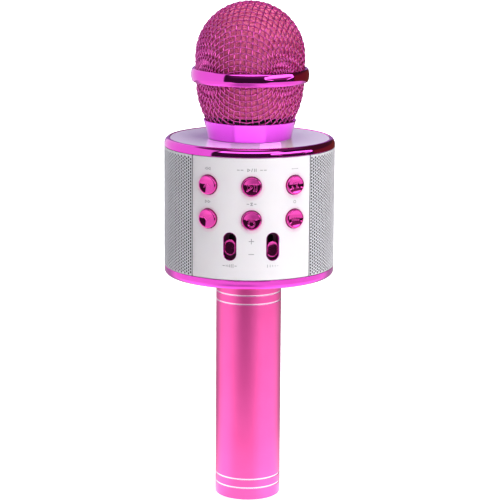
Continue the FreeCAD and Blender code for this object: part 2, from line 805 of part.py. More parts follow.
def neck_screws():
    low = TOP_FACE - SHELL_WALL - PLATE_WALL - SHELL_WALL
    tip = TOP_FACE - SHELL_WALL - 0.2
    return [
        screw(x, y, low - 1.2, low, tip, SMALL_HEAD_R, SMALL_SCREW_R)
        for x, y in around(3, NECK_SCREW_RING)
    ]


def capsule_holder():
    return turned(
        (3.5, CAPSULE_SEAT - 6),
        (NECK_BORE - 0.05, CAPSULE_SEAT - 6),
        (NECK_BORE - 0.05, NECK_TOP),
        (NECK_R - 1.0, NECK_TOP),
        (NECK_R - 1.0, NECK_TOP + 1.5),
        (11.0, NECK_TOP + 1.5),
        (11.0, CAPSULE_TOP - 1.5),
        (CAPSULE_R + 0.02, CAPSULE_TOP - 1.5),
        (CAPSULE_R + 0.02, CAPSULE_SEAT),
        (3.5, CAPSULE_SEAT),
    )


def mic_capsule():
    rim = CAPSULE_R - 1.2
    return turned(
        (0, CAPSULE_SEAT),
        (CAPSULE_R, CAPSULE_SEAT),
        (CAPSULE_R, CAPSULE_TOP),
        (rim, CAPSULE_TOP),
        (rim, CAPSULE_TOP - 0.6),
        (0, CAPSULE_TOP - 0.6),
    )


def neck_seal():
    return tube(SEAL_R, NECK_R + RUNNING_GAP, TOP_FACE, TOP_FACE + SEAL_HEIGHT)


def thread_insert():
    low = TOP_FACE + SEAL_HEIGHT + 0.05
    bore = NECK_R + RUNNING_GAP
    flange_r = 19.2
    return turned(
        (bore, low),
        (INSERT_R, low),
        (INSERT_R, COLLAR_SEAT),
        (flange_r, COLLAR_SEAT),
        (flange_r, COLLAR_SEAT + 1.8),
        (bore, COLLAR_SEAT + 1.8),
    )


def grille_collar():
    low = TOP_FACE + 0.1
    ledge = TOP_FACE + SEAL_HEIGHT + 0.05
    waist = ((COLLAR_LOW_R + COLLAR_HIGH_R) / 2 - 0.28, (low + COLLAR_TOP) / 2)
    return lathe(
        line((SEAL_R + 0.2, low), (COLLAR_LOW_R, low)),
        arc((COLLAR_LOW_R, low), waist, (COLLAR_HIGH_R, COLLAR_TOP)),
        line((COLLAR_HIGH_R, COLLAR_TOP), (COLLAR_HIGH_R - 0.6, COLLAR_TOP)),
        line((COLLAR_HIGH_R - 0.6, COLLAR_TOP), (COLLAR_HIGH_R - 0.9, COLLAR_SEAT)),
        line((COLLAR_HIGH_R - 0.9, COLLAR_SEAT), (INSERT_R + 0.02, COLLAR_SEAT)),
        line((INSERT_R + 0.02, COLLAR_SEAT), (INSERT_R + 0.02, ledge)),
        line((INSERT_R + 0.02, ledge), (SEAL_R + 0.2, ledge)),
        line((SEAL_R + 0.2, ledge), (SEAL_R + 0.2, low)),
    )


def basket_point(z, inset=0.0):
    """Point on the arc that the lower grille follows, inset from its outside."""
    centre = BASKET_MOUTH_R - BASKET_ARC_R
    radius = BASKET_ARC_R - inset
    return (centre + math.sqrt(radius ** 2 - (BASKET_MOUTH_Z - z) ** 2), z)


def basket_arc(low, inset=0.0):
    middle = (low + BASKET_MOUTH_Z) / 2
    ends = (basket_point(low, inset), basket_point(middle, inset), basket_point(BASKET_MOUTH_Z, inset))
    return arc(*ends), ends[0], ends[2]


def grille_basket():
    low = COLLAR_SEAT + 0.1
    rim = (BAND_BOTTOM + BAND_TOP) / 2 - 0.1
    outer, outer_low, outer_high = basket_arc(low)
    inner, inner_low, inner_high = basket_arc(low, MESH_WALL)
    return lathe(
        outer,
        line(outer_high, (outer_high[0], rim)),
        line((outer_high[0], rim), (inner_high[0], rim)),
        line((inner_high[0], rim), inner_high),
        inner,
        line(inner_low, outer_low),
    )


def dome_arc(radius):
    diagonal = radius * math.sqrt(0.5)
    return arc((radius, DOME_Z), (diagonal, DOME_Z + diagonal), (0, DOME_Z + radius))


def grille_dome():
    inner = DOME_R - MESH_WALL
    rim = (BAND_BOTTOM + BAND_TOP) / 2 + 0.1
    return lathe(
        line((inner, rim), (DOME_R, rim)),
        line((DOME_R, rim), (DOME_R, DOME_Z)),
        dome_arc(DOME_R),
        line((0, DOME_Z + DOME_R), (0, DOME_Z + inner)),
        dome_arc(inner),
        line((inner, DOME_Z), (inner, rim)),
    )


def grille_band():
    """Ring with a slightly bulging outside and chamfered edges."""
    middle = (BAND_BOTTOM + BAND_TOP) / 2
    bore = DOME_R + 0.05
    edge = BAND_EDGE_R - BAND_CHAMFER
    low = BAND_BOTTOM + BAND_CHAMFER
    high = BAND_TOP - BAND_CHAMFER
    return lathe(
        line((bore, BAND_BOTTOM), (edge, BAND_BOTTOM)),
        line((edge, BAND_BOTTOM), (BAND_EDGE_R, low)),
        arc((BAND_EDGE_R, low), (BAND_R, middle), (BAND_EDGE_R, high)),
        line((BAND_EDGE_R, high), (edge, BAND_TOP)),
        line((edge, BAND_TOP), (bore, BAND_TOP)),
        line((bore, BAND_TOP), (bore, BAND_BOTTOM)),
    )


def foam_windscreen():
    inset = BASKET_MOUTH_R - FOAM_R
    outer, outer_low, outer_high = basket_arc(FOAM_BOTTOM, inset)
    bore_top = DOME_Z - math.sqrt(FOAM_HOLLOW_R ** 2 - FOAM_BORE ** 2)
    return lathe(
        outer,
        line(outer_high, (FOAM_R, DOME_Z)),
        dome_arc(FOAM_R),
        line((0, DOME_Z + FOAM_R), (0, DOME_Z + FOAM_HOLLOW_R)),
        arc((0, DOME_Z + FOAM_HOLLOW_R), (FOAM_HOLLOW_R, DOME_Z), (FOAM_BORE, bore_top)),
        line((FOAM_BORE, bore_top), (FOAM_BORE, FOAM_BOTTOM)),
        line((FOAM_BORE, FOAM_BOTTOM), outer_low),
    )


# ---- Leads ----

def battery_leads():
    top = BATTERY_BOTTOM + BATTERY_LENGTH + 0.1
    board_end = -(BOARD_FRONT - BOARD_WALL) + 0.1
    leads = []
    for x in (-1.8, 1.8):
        rise = [(x, 0, top), (x, 0, 100), (x, -1, 110)]
        leads.append(round_lead(rise + [(x * 1.3, -13, 118), (x * 1.6, board_end, 119)]))
    return leads


def mic_leads():
    board_end = -(BOARD_FRONT - BOARD_WALL) + 0.1
    leads = []
    for x in (-1.5, 1.5):
        drop = [(x, 0, CAPSULE_SEAT - 0.1), (x, 0, 176), (x, -3, 167)]
        leads.append(round_lead(drop + [(x * 1.2, -15, 160.5), (x * 1.5, board_end, 160)]))
    return leads


def speaker_leads():
    back = -(BOARD_FRONT - BOARD_WALL)
    leads = []
    for side in (-1, 1):
        for z in (SPEAKER_Z - 2, SPEAKER_Z + 2):
            start = (side * 16.5, -MAGNET_R - LEAD_R - 0.1, z)
            leads.append(round_lead([start, (side * 15.5, -18, z - 1), (side * 17, back + 0.4, z - 2)]))
    return leads


def save(node, made):
    solids = made if isinstance(made, list) else [made]
    for solid in solids:
        if not solid.isValid() or len(solid.Solids) != 1:
            raise ValueError(f"{node}: a piece is not one valid solid")
    shape = solids[0] if len(solids) == 1 else Part.makeCompound(solids)
    shape.exportStep(f"parts/{node}.step")


PIECES = {
    "handle_tube": handle_tube,
    "end_cap": end_cap,
    "battery": battery,
    "battery_pads": battery_pads,
    "handle_adapter": handle_adapter,
    "adapter_screws": adapter_screws,
    "bottom_cover": bottom_cover,
    "cover_screws": cover_screws,
    "front_panel": front_panel,
    "rear_panel": rear_panel,
    "left_grille": lambda: side_grille(-90),
    "right_grille": lambda: side_grille(90),
    "grille_liners": grille_liners,
    "top_bezel": top_bezel,
    "top_cover": top_cover,
    "drum_frame": drum_frame,
    "button_switches": button_switches,
    "slider_trims": slider_trims,
    "left_slider_knob": lambda: slider_knob("left_slider_knob", -SLIDER_AZIMUTH),
    "right_slider_knob": lambda: slider_knob("right_slider_knob", SLIDER_AZIMUTH),
    "slider_pots": slider_pots,
    "control_board": lambda: board(BOARD_HALF_WIDTH, BOARD_FRONT, -1, FRONT_POSTS),
    "port_board": lambda: board(PORT_BOARD_HALF_WIDTH, PORT_BOARD_FACE, 1, REAR_POSTS),
    "board_screws": board_screws,
    "board_chips": board_chips,
    "board_ribbon": board_ribbon,
    "power_switch": power_switch,
    "power_knob": power_knob,
    "usb_socket": usb_socket,
    "charge_socket": charge_socket,
    "card_slot": card_slot,
    "audio_jack": audio_jack,
    "charge_led": charge_led,
    "left_speaker_basket": lambda: speaker_basket(-1),
    "right_speaker_basket": lambda: speaker_basket(1),
    "left_speaker_magnet": lambda: speaker_magnet(-1),
    "right_speaker_magnet": lambda: speaker_magnet(1),
    "left_speaker_cone": lambda: speaker_cone(-1),
    "right_speaker_cone": lambda: speaker_cone(1),
    "speaker_screws": speaker_screws,
    "threaded_neck": threaded_neck,
    "neck_screws": neck_screws,
    "capsule_holder": capsule_holder,
    "mic_capsule": mic_capsule,
    "neck_seal": neck_seal,
    "thread_insert": thread_insert,
    "grille_collar": grille_collar,
    "grille_basket": grille_basket,
    "grille_band": grille_band,
    "grille_dome": grille_dome,
    "foam_windscreen": foam_windscreen,
    "battery_leads": battery_leads,
    "mic_leads": mic_leads,
    "speaker_leads": speaker_leads,
}


def main():
    os.makedirs("parts", exist_ok=True)
    for node, make in PIECES.items():
        save(node, make())
    for z, names in zip(BUTTON_ROWS, BUTTON_NAMES):
        for azimuth, node in zip(BUTTON_COLUMNS, names):
            save(node, button(azimuth, z))


main()
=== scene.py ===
import json
import math

import bmesh
import bpy
import numpy as np
from mathutils import Matrix, Vector, noise
from mathutils.geometry import delaunay_2d_cdt


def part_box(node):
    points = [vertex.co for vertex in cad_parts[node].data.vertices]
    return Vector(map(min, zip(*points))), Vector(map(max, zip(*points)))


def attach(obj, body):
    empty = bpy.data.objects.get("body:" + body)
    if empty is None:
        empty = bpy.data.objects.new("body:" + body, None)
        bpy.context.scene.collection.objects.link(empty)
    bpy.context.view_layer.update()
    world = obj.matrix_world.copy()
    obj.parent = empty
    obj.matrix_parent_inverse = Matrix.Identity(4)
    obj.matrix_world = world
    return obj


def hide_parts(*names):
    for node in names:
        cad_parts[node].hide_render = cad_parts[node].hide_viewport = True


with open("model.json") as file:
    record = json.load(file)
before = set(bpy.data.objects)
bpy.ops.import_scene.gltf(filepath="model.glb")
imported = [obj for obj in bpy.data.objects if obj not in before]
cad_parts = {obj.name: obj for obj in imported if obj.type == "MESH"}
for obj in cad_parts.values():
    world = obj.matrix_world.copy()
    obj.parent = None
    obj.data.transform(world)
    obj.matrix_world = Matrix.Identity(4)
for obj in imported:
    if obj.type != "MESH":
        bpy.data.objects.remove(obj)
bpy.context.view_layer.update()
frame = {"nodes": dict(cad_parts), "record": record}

# Shapes are modelled in millimetres in the CAD's frame and scaled to metres when a mesh is made.
MM = 0.001
SEGMENTS = 192
TURN = 2 * math.pi


# ---- Sizes read from the CAD ----

def box_mm(node):
    low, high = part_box(node)
    return low / MM, high / MM


tube_high = box_mm("handle_tube")[1]
HANDLE_R = tube_high.x
cover_low, cover_high = box_mm("bottom_cover")
DRUM_R = cover_high.x
DRUM_BOTTOM = cover_low.z
panel_low, panel_high = box_mm("front_panel")
BAND_LOW, BAND_HIGH = panel_low.z, panel_high.z
BAND_HEIGHT = BAND_HIGH - BAND_LOW
bezel_low, bezel_high = box_mm("top_bezel")
disc_low, disc_high = box_mm("top_cover")
TOP_FACE = disc_high.z
collar_low, collar_high = box_mm("grille_collar")
band_low, band_high = box_mm("grille_band")
BAND_MIDDLE = (band_low.z + band_high.z) / 2
dome_high = box_mm("grille_dome")[1]
DOME_R = dome_high.x
DOME_Z = dome_high.z - DOME_R
basket_low = box_mm("grille_basket")[0]
neck_low, neck_high = box_mm("threaded_neck")
foam_low = box_mm("foam_windscreen")[0]

COVER_WALL = 2.0
PANEL_HALF_ANGLE = math.degrees(math.asin(panel_high.x / DRUM_R))


# ---- Mesh helpers ----

def new_object(name, points, faces, materials, face_slots=None, smooth_angle=35.0):
    """Mesh object from points in millimetres."""
    mesh = bpy.data.meshes.new(name)
    mesh.from_pydata((np.asarray(points, float) * MM).tolist(), [], faces)
    for made in materials:
        mesh.materials.append(made)
    if face_slots is not None:
        mesh.polygons.foreach_set("material_index", np.asarray(face_slots, np.int32))
    mesh.shade_smooth()
    mesh.set_sharp_from_angle(angle=math.radians(smooth_angle))
    made = bpy.data.objects.new(name, mesh)
    bpy.context.scene.collection.objects.link(made)
    return made


def weighted(piece):
    """Keeps flat faces flat next to small rounded edges."""
    modifier = piece.modifiers.new("even_normals", "WEIGHTED_NORMAL")
    modifier.keep_sharp = True
    modifier.weight = 80
    return piece


def face_out(piece):
    """Makes every face of a closed mesh point outwards."""
    work = bmesh.new()
    work.from_mesh(piece.data)
    bmesh.ops.recalc_face_normals(work, faces=work.faces)
    if work.calc_volume(signed=True) < 0:
        bmesh.ops.reverse_faces(work, faces=work.faces)
    work.to_mesh(piece.data)
    work.free()
    return piece


def strip(ring, other):
    """Quads between two closed rings of point numbers."""
    ends = [(k, (k + 1) % len(ring)) for k in range(len(ring))]
    return [(ring[a], ring[b], other[b], other[a]) for a, b in ends]


def through(name, rings, materials, slots=None, hollow=False, smooth_angle=35.0):
    """Solid through rings of points. A hollow one joins its last ring to its first, others get flat ends.
    slots holds a material slot for each gap between rings."""
    count, levels = len(rings[0]), len(rings)
    faces, face_slots = [], []
    for level in range(levels if hollow else levels - 1):
        a, b = level * count, (level + 1) % levels * count
        faces += strip(range(a, a + count), range(b, b + count))
        face_slots += [slots[level] if slots else 0] * count
    points = [point for ring in rings for point in ring]
    if not hollow:
        faces += [tuple(range(count)), tuple(range(len(points) - count, len(points)))]
        face_slots += [0, 0]
    return face_out(new_object(name, points, faces, materials, face_slots, smooth_angle))


def rounded(points, steps=5):
    """Closed outline of (a, b, radius) corners with each corner turned into an arc."""
    outline = []
    count = len(points)
    for i, (a, b, radius) in enumerate(points):
        here = Vector((a, b))
        back = Vector(points[i - 1][:2]) - here
        ahead = Vector(points[(i + 1) % count][:2]) - here
        if radius <= 0:
            outline.append((a, b))
            continue
        half = back.angle(ahead) / 2
        reach = min(radius / math.tan(half), back.length * 0.49, ahead.length * 0.49)
        radius = reach * math.tan(half)
        bisector = (back.normalized() + ahead.normalized()).normalized()
        centre = here + bisector * (radius / math.sin(half))
        start = here + back.normalized() * reach - centre
        end = here + ahead.normalized() * reach - centre
        turn = start.angle_signed(end)
        for k in range(steps + 1):
            spoke = start.copy()
            spoke.rotate(Matrix.Rotation(-turn * k / steps, 2))
            outline.append(tuple(centre + spoke))
    return outline


def lathe(name, outline, materials, segments=SEGMENTS, slot_of=None, bend=None):
    """Solid of revolution about Z of a closed outline of (radius, height). Points on the axis are merged."""
    outline = [(max(r, 0.0), z) for r, z in outline]
    points, rings = [], []
    for r, z in outline:
        if r < 1e-6:
            rings.append([len(points)] * segments)
            points.append((0.0, 0.0, z))
            continue
        rings.append(range(len(points), len(points) + segments))
        for k in range(segments):
            angle = TURN * k / segments
            reach = bend(r, z, angle) if bend else r
            points.append((reach * math.sin(angle), -reach * math.cos(angle), z))
    faces, slots = [], []
    count = len(outline)
    for i in range(count):
        here, there = rings[i], rings[(i + 1) % count]
        if here[0] == here[1] and there[0] == there[1]:
            continue
        slot = slot_of(outline[i], outline[(i + 1) % count]) if slot_of else 0
        for corners in strip(here, there):
            faces.append([c for j, c in enumerate(corners) if c != corners[j - 1]])
            slots.append(slot)
    return face_out(weighted(new_object(name, points, faces, materials, slots)))


def turned(name, outline, steps, materials, body, slot, node, **options):
    """Lathed piece with rounded corners, in place of a CAD node."""
    fit(lathe(name, rounded(outline, steps), materials, **options), body, slot, node)


def wrap(azimuth, z0):
    """Maps (sideways, distance from the axis, height) onto the drum about an azimuth."""
    def place(s, reach, h):
        angle = math.radians(azimuth) + s / DRUM_R
        return (reach * math.sin(angle), -reach * math.cos(angle), z0 + h)
    return place


def facing(azimuth, z0):
    """Maps (sideways, distance from the axis, height) onto a flat frame that faces outwards."""
    sine, cosine = math.sin(math.radians(azimuth)), math.cos(math.radians(azimuth))

    def place(s, reach, h):
        return (sine * reach + cosine * s, sine * s - cosine * reach, z0 + h)
    return place


def arc(s, h, radius, start, sweep, steps):
    """Points along an arc about (s, h), with both of its ends."""
    angles = [start + sweep * k / steps for k in range(steps + 1)]
    return [(s + radius * math.cos(angle), h + radius * math.sin(angle)) for angle in angles]


def circle_loop(s, h, radius, count):
    return arc(s, h, radius, 0, TURN, count)[:-1]


def stadium_loop(s, h, width, length, steps=16):
    """Upright slot outline, anticlockwise from its right side."""
    r = width / 2
    half = length / 2 - r
    return arc(s, h + half, r, 0, math.pi, steps) + arc(s, h - half, r, math.pi, math.pi, steps)


def rectangle_loop(s, h, width, height, radius, steps=4):
    across, up = width / 2 - radius, height / 2 - radius
    loop = []
    for i, (side, rise) in enumerate(((1, 1), (-1, 1), (-1, -1), (1, -1))):
        loop += arc(s + side * across, h + rise * up, radius, i * math.pi / 2, math.pi / 2, steps)
    return loop


def dense(loop, step):
    """Adds points along the long sides of a closed loop."""
    out = []
    for (x0, y0), (x1, y1) in zip(loop, loop[1:] + loop[:1]):
        parts = max(1, round(math.hypot(x1 - x0, y1 - y0) / step))
        out += [(x0 + (x1 - x0) * k / parts, y0 + (y1 - y0) * k / parts) for k in range(parts)]
    return out


def grown(loop, by):
    """Loop moved outwards along its own normals, for an anticlockwise loop."""
    out = []
    for (x0, y0), (x, y), (x1, y1) in zip(loop[-1:] + loop, loop, loop[1:] + loop[:1]):
        length = math.hypot(x1 - x0, y1 - y0) or 1.0
        out.append((x + by * (y1 - y0) / length, y - by * (x1 - x0) / length))
    return out


def triangulate(loops, spots):
    """Flat triangles between an outline and the holes in it, all convex, with extra spots as corners.
    Returns the vertices, the triangles and each loop as vertex numbers."""
    flat, edges, starts = [], [], []
    for loop in loops:
        count = len(loop)
        starts.append(len(flat))
        edges += [(len(flat) + k, len(flat) + (k + 1) % count) for k in range(count)]
        flat += loop
    given = [Vector(point) for point in flat + spots]
    vertices, _, triangles, origin, *_ = delaunay_2d_cdt(given, edges, [], 0, 1e-5)
    number = {source: i for i, sources in enumerate(origin) for source in sources}
    rings = [[number[start + k] for k in range(len(loop))] for start, loop in zip(starts, loops)]
    hole_of = {i: hole for hole, ring in enumerate(rings[1:]) for i in ring}
    kept = []
    for triangle in triangles:
        holes = {hole_of.get(i, -1) for i in triangle}
        if len(holes) > 1 or -1 in holes:
            kept.append(tuple(triangle))
    return vertices, kept, rings


def spread(loops, grid):
    """Points all over the first loop, apart from a margin round each of the others."""
    def span_of(loop, margin):
        across, upwards = [p[0] for p in loop], [p[1] for p in loop]
        return min(across) - margin, max(across) + margin, min(upwards) - margin, max(upwards) + margin

    left, right, low, high = span_of(loops[0], 0.0)
    zones = [span_of(loop, grid * 0.45) for loop in loops[1:]]
    columns = round((right - left) / grid)
    rows = round((high - low) / (grid * 4))
    spots = []
    for i in range(1, columns):
        for j in range(1, rows):
            s = left + (right - left) * i / columns
            h = low + (high - low) * j / rows
            if not any(z[0] < s < z[1] and z[2] < h < z[3] for z in zones):
                spots.append((s, h))
    return spots


def plate(name, place, outer, holes, wall, materials, edge=0.0, grid=0.0, steps=3):
    """Sheet with openings, laid by place(s, reach, h), with its outside at DRUM_R.
    Its edges are rounded by edge, and grid spaces the points between the openings."""
    loops = [outer] + holes
    signs = [-1] + [1] * len(holes)
    tops = [grown(loop, sign * edge) for loop, sign in zip(loops, signs)]
    vertices, kept, rings = triangulate(tops, spread(tops, grid) if grid else [])
    base = len(vertices)
    inner = DRUM_R - wall
    points = [place(s, reach, h) for reach in (DRUM_R, inner) for s, h in vertices]
    faces = kept + [tuple(base + i for i in reversed(triangle)) for triangle in kept]
    for loop, sign, ring in zip(loops, signs, rings):
        back = [base + i for i in ring]
        if sign > 0:
            # Keeps the walls of the opening parallel through the curved sheet.
            middle = sum(s for s, _ in loop) / len(loop)
            for i in ring:
                s, h = vertices[i]
                points[base + i] = place(middle + (s - middle) * DRUM_R / inner, inner, h)
        for k in range(1, steps + 1 if edge else 1):
            angle = math.pi / 2 * k / steps
            moved = grown(loop, sign * edge * (1 - math.sin(angle)))
            sunk = DRUM_R - edge * (1 - math.cos(angle))
            lower = range(len(points), len(points) + len(loop))
            points += [place(s, sunk, h) for s, h in moved]
            faces += strip(ring, lower)
            ring = lower
        faces += strip(ring, back)
    piece = face_out(new_object(name, points, faces, materials))
    smooth_front(piece, len(kept))
    return piece


def smooth_front(piece, front):
    """Gives the curved outside the drum's true normals, so that reflections stay clean round the openings."""
    mesh = piece.data
    normals = np.zeros((len(mesh.loops), 3))
    for polygon in mesh.polygons[:front]:
        for i in polygon.loop_indices:
            x, y, _ = mesh.vertices[mesh.loops[i].vertex_index].co
            normals[i] = Vector((x, y, 0)).normalized()
    mesh.normals_split_custom_set(normals.tolist())


def join(name, pieces):
    """Joins mesh pieces that share materials into one."""
    work = bmesh.new()
    for piece in pieces:
        work.from_mesh(piece.data)
    mesh = pieces[0].data.copy()
    mesh.name = name
    work.to_mesh(mesh)
    work.free()
    joined = bpy.data.objects.new(name, mesh)
    bpy.context.scene.collection.objects.link(joined)
    for piece in pieces:
        bpy.data.objects.remove(piece)
    return joined


def fit(piece, body, slot, *nodes):
    """Rides a piece on a body and lets it stand for CAD nodes. The slot argument is not used."""
    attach(piece, body)
    if nodes:
        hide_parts(*nodes)


def body_of_node(node):
    for body, nodes in frame["record"]["behaviour"]["bodies"].items():
        if node in nodes:
            return body
    raise ValueError(node)


# ---- Materials ----

class Nodes:
    """Builds a node tree. Values are numbers, tuples or other nodes' outputs."""

    def __init__(self, tree, coordinates):
        self.tree = tree
        self.where = tree.nodes.new("ShaderNodeTexCoord").outputs[coordinates]

    def give(self, socket, value):
        if hasattr(value, "links"):
            self.tree.links.new(value, socket)
        elif socket.type == "RGBA":
            socket.default_value = (*value, 1.0)
        else:
            socket.default_value = value

    def add(self, kind, **values):
        """New node with its properties and input sockets set by name."""
        node = self.tree.nodes.new(kind)
        for key, value in values.items():
            if hasattr(node, key):
                setattr(node, key, value)
            else:
                self.give(node.inputs[key.replace("_", " ")], value)
        return node

    def math(self, operation, *values):
        node = self.add("ShaderNodeMath", operation=operation)
        for socket, value in zip(node.inputs, values):
            self.give(socket, value)
        return node.outputs[0]

    def product(self, *values):
        total = values[0]
        for value in values[1:]:
            total = self.math("MULTIPLY", total, value)
        return total

    def span(self, value, low, high, to_low, to_high, smooth=False):
        node = self.add("ShaderNodeMapRange", interpolation_type="SMOOTHSTEP" if smooth else "LINEAR")
        for socket, number in zip(node.inputs, (value, low, high, to_low, to_high)):
            self.give(socket, number)
        return node.outputs["Result"]

    def blend(self, share, a, b):
        node = self.add("ShaderNodeMix", data_type="RGBA")
        for key, value in (("Factor", share), ("A", a), ("B", b)):
            self.give([socket for socket in node.inputs if socket.name == key and socket.enabled][0], value)
        return [socket for socket in node.outputs if socket.enabled][0]

    def noise(self, scale, detail=3.0, rough=0.5, stretch=None):
        where = self.where
        if stretch:
            where = self.add("ShaderNodeMapping", Vector=where, Scale=stretch).outputs["Vector"]
        node = self.add("ShaderNodeTexNoise", Vector=where, Scale=scale, Detail=detail, Roughness=rough)
        return node.outputs["Fac"]

    def distance(self, point):
        node = self.add("ShaderNodeVectorMath", operation="DISTANCE")
        self.give(node.inputs[0], self.where)
        self.give(node.inputs[1], point)
        return node.outputs["Value"]

    def axes(self):
        return tuple(self.add("ShaderNodeSeparateXYZ", Vector=self.where).outputs)

    def bearing(self, x, y):
        """Degrees round the upright axis, from the front."""
        return self.product(self.math("ARCTAN2", x, self.product(y, -1.0)), 180 / math.pi)


class Shade(Nodes):
    """A material in the CAD's coordinates, in metres."""

    def __init__(self, name):
        self.material = bpy.data.materials.new(name)
        self.material.use_nodes = True
        super().__init__(self.material.node_tree, "Object")
        self.surface = self.tree.nodes["Principled BSDF"]

    def set(self, **values):
        for key, value in values.items():
            self.give(self.surface.inputs[key.replace("_", " ")], value)

    def bump(self, height, strength, distance):
        node = self.add("ShaderNodeBump", Strength=strength, Distance=distance, Height=height)
        self.give(self.surface.inputs["Normal"], node.outputs["Normal"])


def finish(name, dark, light, slow, fine, rough, bump, drift=(0.3, 0.7), **extra):
    """Material whose tint drifts with a slow noise, and whose roughness and bumps follow a fine one."""
    shade = Shade(name)
    cloud = shade.noise(*slow)
    grain = shade.noise(*fine) if fine else cloud
    shade.tint = shade.blend(shade.span(cloud, *drift, 0, 1), dark, light)
    shade.set(Base_Color=shade.tint, Roughness=shade.span(grain, 0.2, 0.8, *rough), **extra)
    shade.bump(grain, *bump)
    return shade


def polished(name, dark, light, scale, dust_noise, rough, bump, **extra):
    """Smooth material with slow waves, and with duller specks of dust."""
    shade = Shade(name)
    waves = shade.noise(scale, 2.0)
    dust = shade.noise(*dust_noise)
    shade.set(Base_Color=shade.blend(shade.span(waves, 0.3, 0.7, 0, 1), dark, light), **extra)
    shade.set(Roughness=shade.span(dust, *rough))
    shade.bump(waves, *bump)
    return shade.material


def chrome_pink(name, dark, light):
    return polished(
        name, dark, light, 70, (2600, 4.0, 0.7), (0.55, 0.8, 0.045, 0.165), (0.12, 0.0004),
        Metallic=1.0, Coat_Weight=0.12, Coat_Roughness=0.03)


def gloss_white():
    return polished(
        "cover_white", (0.84, 0.80, 0.88), (0.87, 0.83, 0.91), 50, (2500, 3.0), (0.5, 0.8, 0.15, 0.19),
        (0.06, 0.0003), Coat_Weight=1.0, Coat_Roughness=0.04)


def mesh_pink():
    shade = Shade("mesh_pink")
    stain = shade.noise(900, 4.0, 0.6)
    tint = shade.blend(shade.span(stain, 0.35, 0.7, 0, 1), (0.70, 0.090, 0.43), (0.82, 0.150, 0.54))
    shade.set(Base_Color=tint, Metallic=0.95, Roughness=shade.span(stain, 0.3, 0.7, 0.14, 0.24))
    shade.bump(shade.noise(5000, 2.0), 0.25, 0.00005)
    return shade.material


def foam_pink():
    """Open-cell foam: dark pores between lighter walls, the pores' darkness being painted shade in their
    hollows.
    """
    shade = Shade("foam_pink")
    pores = shade.add("ShaderNodeTexVoronoi", Scale=2300, Vector=shade.where).outputs["Distance"]
    blotch = shade.span(shade.noise(220, 3.0), 0.3, 0.7, 0, 1)
    # Painted shade: the deep colour darkens the pores, and the lit colour fills the walls between them.
    deep = shade.blend(blotch, (0.42, 0.035, 0.11), (0.50, 0.05, 0.14))
    lit = shade.blend(blotch, (0.84, 0.14, 0.33), (0.93, 0.18, 0.39))
    shade.set(Base_Color=shade.blend(shade.span(pores, 0.1, 0.6, 0, 1), deep, lit))
    shade.set(Roughness=0.95, Sheen_Weight=0.3, Sheen_Roughness=0.6)
    shade.bump(pores, 0.8, 0.0002)
    return shade.material


def anodised_pink():
    """Blasted and anodised tube, with faint marks of the drawing along it."""
    shade = Shade("anodised_pink")
    grain = shade.noise(5200, 3.0, 0.6)
    cloud = shade.noise(45, 2.0)
    drawn = shade.noise(900, 3.0, 0.6, (1.0, 1.0, 0.02))
    tint = shade.blend(shade.span(cloud, 0.3, 0.7, 0, 1), (0.94, 0.112, 0.42), (0.98, 0.127, 0.46))
    blasted = shade.span(grain, 0.2, 0.8, 0.26, 0.32)
    rough = shade.math("ADD", blasted, shade.span(drawn, 0.3, 0.7, 0, 0.04))
    shade.set(Base_Color=tint, Metallic=1.0, Roughness=rough)
    shade.bump(grain, 0.35, 0.00003)
    return shade.material


def painted_white(name, glow_spots=()):
    """Satin paint, with a painted pink glow round each of the glow spots, in metres: the light that the
    plated buttons throw on it, painted into its colour.
    """
    shade = finish(
        name, (0.81, 0.785, 0.81), (0.84, 0.815, 0.84), (40, 2.0), (3800, 3.0, 0.6), (0.34, 0.44),
        (0.12, 0.00003), Subsurface_Weight=0.05, Subsurface_Scale=0.001)
    # Painted light: each spot tints the paint towards pink, where the buttons' reflected light would fall.
    for spot in glow_spots:
        glow = shade.span(shade.distance(spot), 0.0047, 0.0066, 0.36, 0.0, True)
        shade.tint = shade.blend(glow, shade.tint, (0.95, 0.40, 0.70))
    shade.set(Base_Color=shade.tint)
    return shade.material


def weave(name, dark, light, pitch):
    """Plain fabric with threads of the given pitch, in metres."""
    shade = Shade(name)
    _, y, z = shade.axes()
    up, across = (shade.math("SINE", shade.product(axis, TURN / pitch)) for axis in (z, y))
    threads = shade.product(up, across)
    shade.set(Base_Color=shade.blend(shade.span(threads, -1, 1, 0, 1), dark, light), Roughness=0.9)
    shade.bump(threads, 0.5, 0.0001)
    return shade.material


def moulded(name, dark, light, rough=0.5, grain_scale=2500, bump=0.15, **extra):
    """Moulded plastic or rubber with a fine spark-eroded grain and slow colour drift."""
    return finish(
        name, dark, light, (60, 2.0), (grain_scale, 3.0, 0.6), (rough - 0.08, rough + 0.08),
        (bump, 0.00005), **extra).material


def plated(name, dark, light, rough=0.28):
    """Plated or turned metal with fine directional marks."""
    return finish(
        name, dark, light, (300, 3.0), (700, 4.0, 0.6, (1.0, 1.0, 9.0)), (rough - 0.08, rough + 0.1),
        (0.2, 0.00003), Metallic=1.0).material


